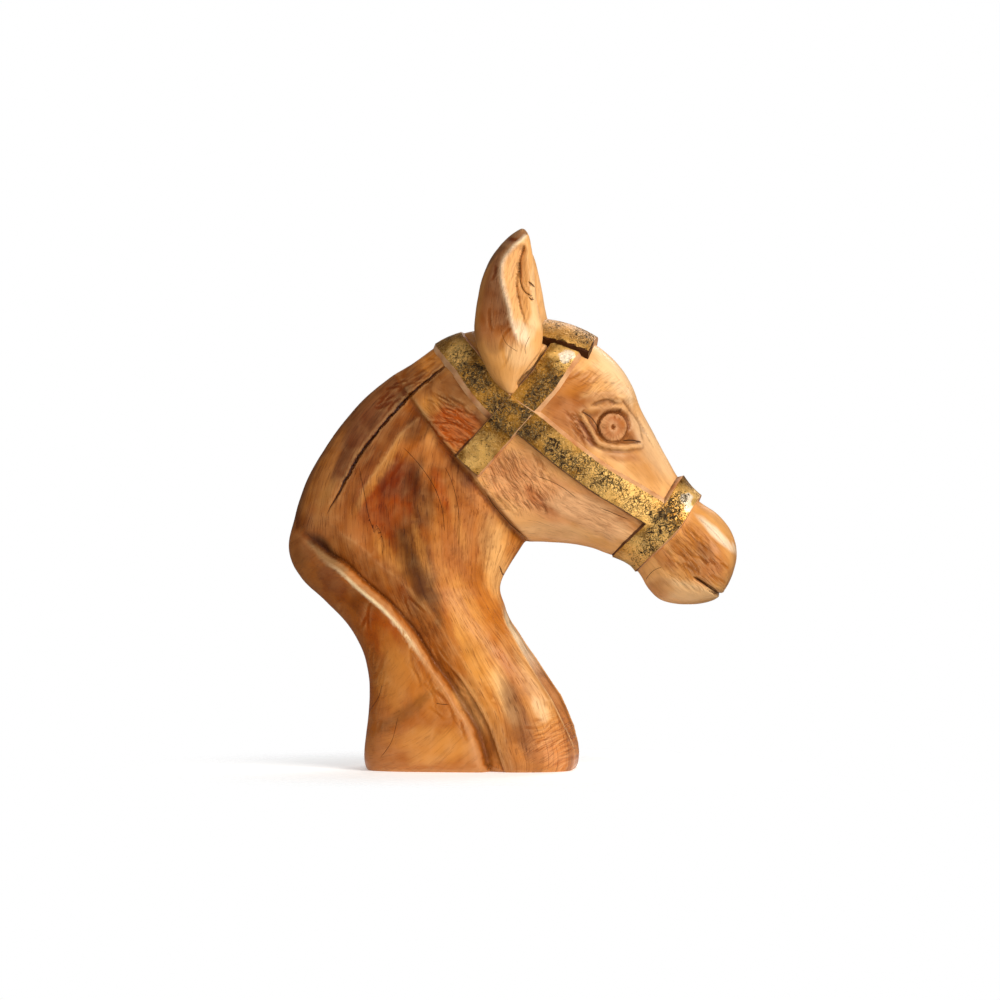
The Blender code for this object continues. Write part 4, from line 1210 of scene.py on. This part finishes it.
def lay_figure(paint):
    """Broad darker and paler bands along the grain, calmer on the shoulder, the head and the ears."""
    head, _, shoulder, ear = paint.zones
    broad = Noise(63).layers(paint.grain * (1 / 11, 1 / 80, 1)) + 0.7 * Noise(64).layers(paint.points / 12)
    broad = broad * (1 - 0.6 * shoulder - 0.35 * head) * (1 - 0.7 * ear)
    paint.lay(
        (CHESTNUT, 0.42 * clamped(broad - 0.08)),
        (PALE, 0.30 * clamped(-broad - 0.10)),
    )


def lay_highlights(paint):
    """Painted highlights on the lower lid and on the ridge round the shoulder, which is rosy where the
    highlight stops.
    """
    z = paint.z
    from_lid, _, along = paint.read(LOWER_LID)
    lid = clamped(1.3 - from_lid / 1.4) * smoothstep(along / 0.05) * (along < 0.98)
    from_groove, side, _ = paint.read(SHOULDER_GROOVE)
    ridge = clamped(1.3 - np.abs(from_groove - SHOULDER_WALL - 1.2) / 1.3) * (side < 0)
    highlit = ease(z, 68, 98) * ease(z, 148, 126) * paint.outer
    paint.lay(
        # painted highlights on the lid and along the shoulder's ridge
        (PALE, lid * 0.5 * paint.outer),
        (SHEEN, clamped(ridge * highlit * (1.0 + paint.streaks))),
        (ROSE, ridge * (1 - highlit) * 0.35),
    )


def lay_chest(paint):
    """The hollow down the chest, rosy below with painted light at its top, a line of painted shade inside
    each rim and a painted highlight on the rim.
    """
    x, z = paint.x, paint.z
    front = smoothstep((paint.normals[:, 0] + 0.1) / FACING_BLEND) * (x > -10)
    front = front * smoothstep((z - CHEST_FOOT) / 10) * smoothstep((CHEST_TOP - z) / 14)
    from_rim = at_height(z, CHEST_RIMS)[1] - np.abs(paint.points[:, 1])
    # rosy low in the hollow, painted light higher up where the light falls into it
    hollow = blend(np.tile(ROSE, (len(z), 1)), SHEEN, ease(z, 55, 90))
    paint.lay(
        (hollow, front * smoothstep(from_rim / 3) * 0.7),
        (GREY_BROWN, front * 0.6 * clamped(1 - np.abs(from_rim - 3) / 3)),
        (CREAM, front * 0.7 * clamped(1 - np.abs(from_rim + 0.6) / 1.6)),
    )


def lay_dirt_and_shade(paint):
    """Dirt and painted shade in the hollows of the carving, wear on its edges, and a rusty line behind the
    jaw.
    """
    outside_ear_wall = 1 - paint.in_ear
    carved = hollowness(paint, steps=3, reach=0.16) * outside_ear_wall
    wide = hollowness(paint, steps=14, reach=0.9) * outside_ear_wall
    from_jaw, _, along = paint.read(JAW_LINE)
    jaw = clamped(1.4 - from_jaw / 2.6)
    soil_and_shade = 1 - 0.75 * jaw * (paint.x < 40)
    paint.lay(
        (RUST, jaw * smoothstep((along - 0.3) / 0.3) * 0.5),
        # dirt and painted shade, darker the deeper the hollow
        (SHADE_AND_DIRT, 0.24 * soil_and_shade * clamped(wide) ** 1.3),
        (SHADE_AND_DIRT, 0.40 * soil_and_shade * clamped(carved) ** 1.3),
        (CREAM, 0.22 * clamped(-carved)),
    )


def bareness(paint):
    """How bare of varnish the wood is: on the face, in the ears, on the chest and at the foot."""
    x, z = paint.x, paint.z
    return np.max((
        paint.zones[0] * (0.7 * ease(x, -20, 20) + 0.3 * ease(x, 80, 110) * ease(z, 176, 196)),
        0.7 * paint.ear * (paint.rim_side > 0),
        0.6 * ease(x, 15, 40) * (z < 150),
        0.6 * ease(z, 55, 20),
    ), axis=0)


def calmness(paint):
    """How plain the grain is at each point, from 0 to 1: the shoulder, the head and the ears are calmer."""
    head, _, shoulder, ear = paint.zones
    calm_head = 0.55 + 0.2 * ease(paint.x, 50, 80)
    return np.clip(0.85 * shoulder + calm_head * head + 0.5 * ear, 0, 0.85)


def band_tones(points, normals, ragged):
    """The pale bare wood of the bands' sides, with painted shade on the sides turned away from the light, and
    dark where their ends are broken.
    """
    fleck = Noise(71).layers(points / 7)
    on_poll = ease(points[:, 2], 236, 248) * (points[:, 0] < 22)
    # painted shade on the sides that face back, away from the light, except over the poll
    behind = smoothstep((0.05 - normals[:, 0]) / FACING_BLEND) * (1 - on_poll)
    tones = blend(np.tile(CREAM, (len(points), 1)), ROSE, clamped(0.6 + 0.5 * fleck))
    tones = blend(tones, SHADE_AND_DIRT, behind * (0.85 + 0.15 * fleck))
    if ragged:
        tones = blend(tones, WALNUT, smoothstep((np.abs(points[:, 1]) - 14) / 3 + 0.3 * fleck))
    return tones, points[:, (2, 0, 1)].copy()


def write_attributes(mesh, **layers):
    """Writes colours (tone and leaf) or vectors, one for each point, for the materials to read."""
    for name, values in layers.items():
        is_colour = name in ("tone", "leaf")
        if is_colour:
            values = np.hstack([values, np.ones((len(values), 1))])
        layer = mesh.attributes.new(name, "FLOAT_COLOR" if is_colour else "FLOAT_VECTOR", "POINT")
        layer.data.foreach_set("color" if is_colour else "vector", values.astype(np.float32).ravel())


def paint_wood(mesh):
    """Lays the carved wood's colours, and finds its grain, knife strokes, thin lines and calmness."""
    paint = Paint(mesh)
    for lay_part in (lay_zones, lay_stains, lay_ears, lay_figure, lay_highlights, lay_chest, lay_dirt_and_shade):
        lay_part(paint)
    varnished = paint.tones * (1 + (VARNISH - 1) * (1 - bareness(paint))[:, None])
    checks = np.column_stack([thin_lines(paint.points, paint.normals), calmness(paint)])
    write_attributes(mesh, tone=varnished, grain=paint.grain, stroke=mark_strokes(paint.points),
                     check=checks)


def paint_band(mesh, ragged):
    tones, grain = band_tones(points_of(mesh), normals_of(mesh), ragged)
    write_attributes(mesh, tone=tones, grain=grain, stroke=0 * grain, check=0 * grain + BAND_LINES_AND_CALM)


def paint_gilding(mesh):
    """How worn, how bright and how orange the leaf is, as one colour."""
    points = points_of(mesh)
    amounts = [patches(points, WORN, 43), patches(points, BURNISHED_AND_HIGHLIT, 47), patches(points, ORANGE, 48)]
    plainer = np.where(points[:, 1] < 0, 1.0, LEFT_WEAR)
    write_attributes(mesh, leaf=np.stack(amounts, 1) * plainer[:, None])


# ---------------------------------------------------------------- materials

# Colours in the materials, as the shader takes them. The wood's are multiplied into its tone.
DARK_FIGURE, LIGHT_FIGURE = (0.50, 0.37, 0.25, 1), (1.16, 1.14, 1.10, 1)
PORE, DARK_LINE = (0.30, 0.17, 0.10, 1), (0.10, 0.045, 0.02, 1)
SCRATCH, SCRAPED = (0.46, 0.25, 0.13, 1), (1.25, 1.22, 1.18, 1)
DULL_GOLD, GOLD = (0.22, 0.092, 0.013, 1), (0.47, 0.213, 0.030, 1)
# the second is the painted white of the strongest highlights on the gilding
BRIGHT_GOLD, HIGHLIGHT_WHITE = (1.0, 0.60, 0.18, 1), (1.0, 0.95, 0.84, 1)
CLAY, GROUND = (0.62, 0.30, 0.07, 1), (0.040, 0.022, 0.009, 1)
# the second is a painted glint on the edges of lifted flakes
SPECK_GOLD, FLAKE_GLINT_GOLD = (1.0, 0.66, 0.26, 1), (1.0, 0.76, 0.36, 1)
WOOD_RELIEF, LEAF_RELIEF = 0.0001, 0.0005    # how high their fine relief is, in metres


class Value:
    """A number, vector or colour that differs over a surface. Numbers take + - * and abs()."""

    def __init__(self, shader, socket):
        self.shader, self.socket = shader, socket

    def __add__(self, other):
        return self.shader.math("ADD", self, other)

    def __sub__(self, other):
        return self.shader.math("SUBTRACT", self, other)

    def __rsub__(self, other):
        return self.shader.math("SUBTRACT", other, self)

    def __mul__(self, other):
        return self.shader.math("MULTIPLY", self, other)

    def __abs__(self):
        return self.shader.math("ABSOLUTE", self)


class Shader:
    """A material and short ways to add nodes to it."""

    def __init__(self, name, **values):
        self.material = bpy.data.materials.new(name)
        self.material.use_nodes = True
        self.tree = self.material.node_tree
        self.surface(**values)

    def feed(self, socket, value):
        if isinstance(value, Value):
            self.tree.links.new(value.socket, socket)
        else:
            socket.default_value = value

    def surface(self, **values):
        """Feeds the sockets of the surface, named with _ for each space."""
        for socket, value in values.items():
            self.feed(self.tree.nodes["Principled BSDF"].inputs[socket.replace("_", " ")], value)

    def node(self, kind, inputs, output=0, **settings):
        """One output of a new node."""
        made = self.tree.nodes.new(kind)
        for name, value in settings.items():
            setattr(made, name, value)
        for name, value in inputs.items():
            self.feed(made.inputs[name], value)
        return Value(self, made.outputs[output])

    def split(self, value, kind="ShaderNodeSeparateXYZ"):
        """The three parts of a vector, or of a colour by its own kind of node."""
        sockets = self.node(kind, {0: value}).socket.node.outputs
        return [Value(self, socket) for socket in sockets]

    def attribute(self, name, output="Vector"):
        return self.node("ShaderNodeAttribute", {}, output, attribute_name=name)

    def place(self):
        return self.node("ShaderNodeTexCoord", {}, "Object")

    def scaled(self, vector, scale):
        return self.node("ShaderNodeVectorMath", {0: vector, 1: scale}, operation="MULTIPLY")

    def noise(self, vector, scale, detail=2.0, distortion=0.0, roughness=0.5):
        inputs = {"Vector": self.scaled(vector, scale), "Scale": 1.0, "Detail": detail,
                  "Distortion": distortion, "Roughness": roughness}
        return self.node("ShaderNodeTexNoise", inputs, "Fac")

    def math(self, operation, first, second=0.0):
        return self.node("ShaderNodeMath", {0: first, 1: second}, operation=operation)

    def between(self, value, low, high, least=0.0, most=1.0):
        """Eases from least to most while a value goes from low to high."""
        inputs = {"Value": value, "From Min": low, "From Max": high, "To Min": least, "To Max": most}
        return self.node("ShaderNodeMapRange", inputs, "Result", interpolation_type="SMOOTHSTEP")

    def mix(self, amount, first, second, how="MIX"):
        inputs = {0: amount, 6: first, 7: second}
        return self.node("ShaderNodeMix", inputs, 2, data_type="RGBA", blend_type=how)

    def bump(self, height, distance):
        inputs = {"Height": height, "Distance": distance, "Strength": 1.0}
        self.surface(Normal=self.node("ShaderNodeBump", inputs))


def wood_material():
    """Varnished carved wood: its own tone at each point, with figure, growth lines, pores, and thin dark
    lines that are checks in places and painted shade in some creases.
    """
    shader = Shader("carved_wood", Metallic=0.0, Specular_IOR_Level=0.12, Coat_Weight=0.03,
                    Coat_Roughness=0.2)
    between = shader.between
    grain, stroke, check = [shader.attribute(name) for name in ("grain", "stroke", "check")]
    figure = shader.noise(grain, (0.16, 0.010, 0.10), 3.0, 0.5)
    lines = shader.noise(grain, (0.60, 0.012, 0.30), 3.0, 0.08, 0.6)
    threads = shader.noise(grain, (0.55, 0.010, 0.25), 1.0)
    fine = shader.noise(grain, (1.35, 0.030, 0.5), 2.0, 0.05)
    pores = between(shader.noise(grain, (2.0, 0.11, 1.5), 1.0), 0.60, 0.70)
    mottle = shader.noise(grain, (0.10, 0.045, 0.10), 4.0, 0.3, 0.6)
    marks = shader.noise(stroke, (0.95, 0.085, 0.0), 2.0, 0.25, 0.6)
    marked = shader.split(stroke)[2]
    scratch = between(marks, 0.52, 0.62) * marked
    scraped = between(marks, 0.50, 0.40) * marked
    from_line, line_width, calm = shader.split(check)
    # thin dark lines: checks, and painted shade in some creases
    dark_line = between(line_width - abs(from_line), -0.12, 0.10) * between(line_width, 0.03, 0.09)
    plain = 1.0 - shader.math("MAXIMUM", marked * 0.75, calm)
    broad = between(calm, 0.0, 1.0, 1.0, 0.35)
    thread = between(abs(threads - 0.5), 0.045, 0.0) * between(figure, 0.30, 0.60, 0.35, 1.0)
    colour = shader.attribute("tone", "Color")
    for tint, amount in (
            (DARK_FIGURE, broad * between(figure, 0.46, 0.74, 0.0, 0.34)),
            (LIGHT_FIGURE, broad * between(figure, 0.46, 0.30, 0.0, 0.30)),
            (DARK_FIGURE, broad * between(mottle, 0.48, 0.70, 0.0, 0.50)),
            (DARK_FIGURE, plain * between(lines, 0.48, 0.70, 0.0, 0.30)),
            (DARK_FIGURE, thread * (plain * 0.42)),
            (PORE, pores * (broad * 0.45)),
            (SCRATCH, scratch * 0.55),
            (SCRAPED, scraped * 0.35),
            (DARK_LINE, dark_line * 0.85)):
        colour = shader.mix(amount, colour, tint, "MULTIPLY")
    shader.bump(fine * -0.6 - pores - scratch * 2.6 - dark_line * 3.0, WOOD_RELIEF)
    shader.surface(Base_Color=colour, Roughness=between(mottle, 0.35, 0.7, 0.30, 0.44) + pores * 0.15)
    return shader.material


def gold_material():
    """Old gold leaf: worn through to a black-brown ground, burnished in places and painted with highlights,
    with painted glints on the edges of lifted flakes, red clay in others.
    """
    shader = Shader("old_gold_leaf", Specular_IOR_Level=0.08)
    between = shader.between
    worn, bright, orange = shader.split(shader.attribute("leaf", "Color"), "ShaderNodeSeparateColor")
    place = shader.place()
    soft = shader.noise(place, (95, 95, 95), 4.0, 0.6, 0.6)
    fine = shader.noise(place, (280, 280, 280), 3.5, 1.3, 0.68)
    specks = shader.noise(place, (800, 800, 800), 3.0, 0.8, 0.6)
    from_curl = abs(shader.noise(place, (175, 175, 175), 3.0, 2.6, 0.55) - 0.5)
    curl_reach = worn * 0.040 + 0.003
    from_edge = shader.node("ShaderNodeTexVoronoi", {"Vector": shader.scaled(place, (230, 230, 230)),
                                                     "Scale": 1.0, "Randomness": 1.0},
                            feature="DISTANCE_TO_EDGE")
    crack = between(from_edge, 0.075, 0.035) * between(worn, 0.15, 0.6) * between(fine, 0.42, 0.52)
    dark = between(fine - (0.66 - worn * 0.135), -0.004, 0.008)
    for hole in (between(curl_reach - from_curl, -0.003, 0.006) * 0.9,
                 crack * 0.9,
                 between(specks - (0.66 - worn * 0.12), -0.01, 0.03) * 0.8):
        dark = shader.math("MAXIMUM", dark, hole)
    # a painted glint along the edges of the worn curls
    flake_glint = between(from_curl - curl_reach, 0.014, 0.004) * between(worn, 0.1, 0.6)
    colour = shader.mix(between(soft, 0.36, 0.62), DULL_GOLD, GOLD)
    for over, amount in (
            (BRIGHT_GOLD, bright * 0.85),
            (HIGHLIGHT_WHITE, between(bright, 0.84, 1.0, 0.0, 0.7)),
            (CLAY, orange * 0.75),
            (SPECK_GOLD, between(specks, 0.50, 0.30, 0.0, 0.4)),
            (FLAKE_GLINT_GOLD, flake_glint * 0.5),
            (GROUND, dark)):
        colour = shader.mix(amount, colour, over)
    metal = (1.0 - dark) * (0.68 - orange * 0.35 - bright * 0.38)
    rough = between(soft, 0.3, 0.7, 0.26, 0.40) + dark * 0.35
    shader.bump(fine * 0.8 - dark + specks * 0.4, LEAF_RELIEF)
    shader.surface(Base_Color=colour, Metallic=metal, Roughness=rough)
    return shader.material


def floor_material():
    """A pale floor that fades into the background away from the object."""
    shader = Shader("pale_floor", Base_Color=(0.92, 0.92, 0.92, 1), Roughness=0.7,
                    Emission_Color=(1, 1, 1, 1), Emission_Strength=0.3)
    away = shader.node("ShaderNodeVectorMath", {0: shader.place()}, "Value", operation="LENGTH")
    shader.surface(Alpha=shader.between(away, FLOOR_FADE, FLOOR_RADIUS, 1.0, 0.0))
    return shader.material


# ---------------------------------------------------------------- putting it together

def cut_flat_base(mesh):
    """Cuts the foot off at z = 0 and closes it with a flat face."""
    shape = bmesh.new()
    shape.from_mesh(mesh)
    everything = shape.verts[:] + shape.edges[:] + shape.faces[:]
    cut = bmesh.ops.bisect_plane(shape, geom=everything, plane_co=(0, 0, 0), plane_no=(0, 0, 1),
                                 clear_inner=True)
    rim = [item for item in cut["geom_cut"] if isinstance(item, bmesh.types.BMEdge)]
    bmesh.ops.contextual_create(shape, geom=rim)
    bmesh.ops.triangulate(shape, faces=[face for face in shape.faces if len(face.verts) > 4])
    bmesh.ops.recalc_face_normals(shape, faces=shape.faces)
    shape.to_mesh(mesh)
    shape.free()


def carved_wood(blocks):
    """The neck, head and ears in one, carved, with a flat base."""
    skin = Skin(fused_skin(blocks))
    for carve in (carve_jaw, carve_neck, carve_chest, carve_ears, carve_face, carve_eye, carve_hand_work):
        carve(skin)
    cut_flat_base(skin.mesh)
    whole = add_object("carved_head", skin.mesh)
    fewer = whole.modifiers.new("fewer_faces", "DECIMATE")
    fewer.ratio = WOOD_TRIANGLES / sum(len(face.vertices) - 2 for face in whole.data.polygons)
    mesh = evaluated_mesh(whole)
    whole.modifiers.clear()
    whole.data = mesh
    return whole


def box_fit(item):
    """What takes this piece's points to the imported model's box, as a scale and a shift, in metres."""
    points = points_of(item.data) * MM
    low, high = points.min(axis=0), points.max(axis=0)
    box_low, box_high = np.array(CAD_BOX[0]), np.array(CAD_BOX[1])
    scale = (box_high - box_low) / (high - low)
    return scale, box_low - low * scale


def fit_to_box(item, scale, shift):
    """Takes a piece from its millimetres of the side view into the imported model's frame."""
    points = points_of(item.data) * MM * scale + shift
    item.data.vertices.foreach_set("co", points.astype(np.float32).ravel())
    item.data.update()


def finish_piece(item, material):
    """Gives a piece its material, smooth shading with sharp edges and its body."""
    item.data.materials.clear()
    item.data.materials.append(material)
    item.data.shade_smooth()
    item.data.set_sharp_from_angle(angle=SHARP_ANGLE)
    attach(item, "root")


def build_horse():
    """Carves the wood, lays the bridle on it, colours both and fits them into the model's box."""
    blocks = [build_body("neck", NECK), build_body("head", HEAD)]
    bars, leaves = build_bridle(surface_of(blocks))
    blocks += [build_ear(side) for side in (-1, 1)]
    horse = carved_wood(blocks)
    paint_wood(horse.data)
    for bar in bars:
        paint_band(bar.data, ragged=bar.name.startswith("forehead"))
    for leaf in leaves:
        paint_gilding(leaf.data)
    scale, shift = box_fit(horse)
    for item in (horse, *bars, *leaves):
        fit_to_box(item, scale, shift)
    wood, gold = wood_material(), gold_material()
    for item in (horse, *bars):
        finish_piece(item, wood)
    for item in leaves:
        finish_piece(item, gold)
    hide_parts("horse_head")


# ---------------------------------------------------------------- studio

CAMERA_TARGET = Vector((0.0192, 0, 0.1823))
CAMERA_AZIMUTH, CAMERA_ELEVATION, CAMERA_DISTANCE = math.radians(5.5), math.radians(1), 4.0
CAMERA_LENS = 212.1
FLOOR_RADIUS, FLOOR_FADE = 0.24, 0.07
# Each light: place, size of its square, power, colour.
LIGHTS = (
    ((1.35, -1.3, 1.45), 1.0, 43, (1.0, 0.95, 0.88)),
    ((-1.6, -1.4, 0.9), 2.6, 17, (1.0, 0.96, 0.92)),
    ((1.3, -1.8, -0.1), 1.6, 27, (1.0, 0.96, 0.91)),
    ((0.3, 1.4, 1.5), 1.2, 18, (1.0, 1.0, 1.0)),
)
BACKGROUND, FILL = 1.0, 0.12


def add_camera():
    camera = add_object("camera", bpy.data.cameras.new("camera"))
    camera.data.sensor_width = 36
    camera.data.lens = CAMERA_LENS
    camera.data.clip_end = 100
    away = Vector((math.sin(CAMERA_AZIMUTH) * math.cos(CAMERA_ELEVATION),
                   -math.cos(CAMERA_AZIMUTH) * math.cos(CAMERA_ELEVATION),
                   math.sin(CAMERA_ELEVATION)))
    camera.location = CAMERA_TARGET + away * CAMERA_DISTANCE
    camera.rotation_euler = away.to_track_quat("Z", "Y").to_euler()
    bpy.context.scene.camera = camera


def add_lights():
    for number, (place, size, power, colour) in enumerate(LIGHTS):
        data = bpy.data.lights.new(f"light_{number}", "AREA")
        data.size, data.energy, data.color = size, power, colour
        light = add_object(data.name, data)
        light.location = place
        light.rotation_euler = (Vector(place) - CAMERA_TARGET).to_track_quat("Z", "Y").to_euler()


def add_world():
    """White where the camera sees it, and a softer fill of the same light on the object."""
    world = bpy.data.worlds.new("studio")
    bpy.context.scene.world = world
    world.use_nodes = True
    nodes, links = world.node_tree.nodes, world.node_tree.links
    fill, white = nodes["Background"], nodes.new("ShaderNodeBackground")
    for background, strength in ((fill, FILL), (white, BACKGROUND)):
        background.inputs["Strength"].default_value = strength
        background.inputs["Color"].default_value = (1, 1, 1, 1)
    seen = nodes.new("ShaderNodeLightPath")
    mixer = nodes.new("ShaderNodeMixShader")
    links.new(seen.outputs["Is Camera Ray"], mixer.inputs[0])
    links.new(fill.outputs[0], mixer.inputs[1])
    links.new(white.outputs[0], mixer.inputs[2])
    links.new(mixer.outputs[0], nodes["World Output"].inputs["Surface"])


def add_floor():
    mesh = bpy.data.meshes.new("floor")
    corners = [(FLOOR_RADIUS * math.cos(turn), FLOOR_RADIUS * math.sin(turn), 0)
               for turn in np.linspace(0, 2 * math.pi, 64, endpoint=False)]
    mesh.from_pydata(corners, [], [list(range(len(corners)))])
    mesh.materials.append(floor_material())
    add_object("floor", mesh)


add_camera()
add_lights()
add_world()
add_floor()
build_horse()
bpy.context.scene.view_settings.view_transform = "Standard"
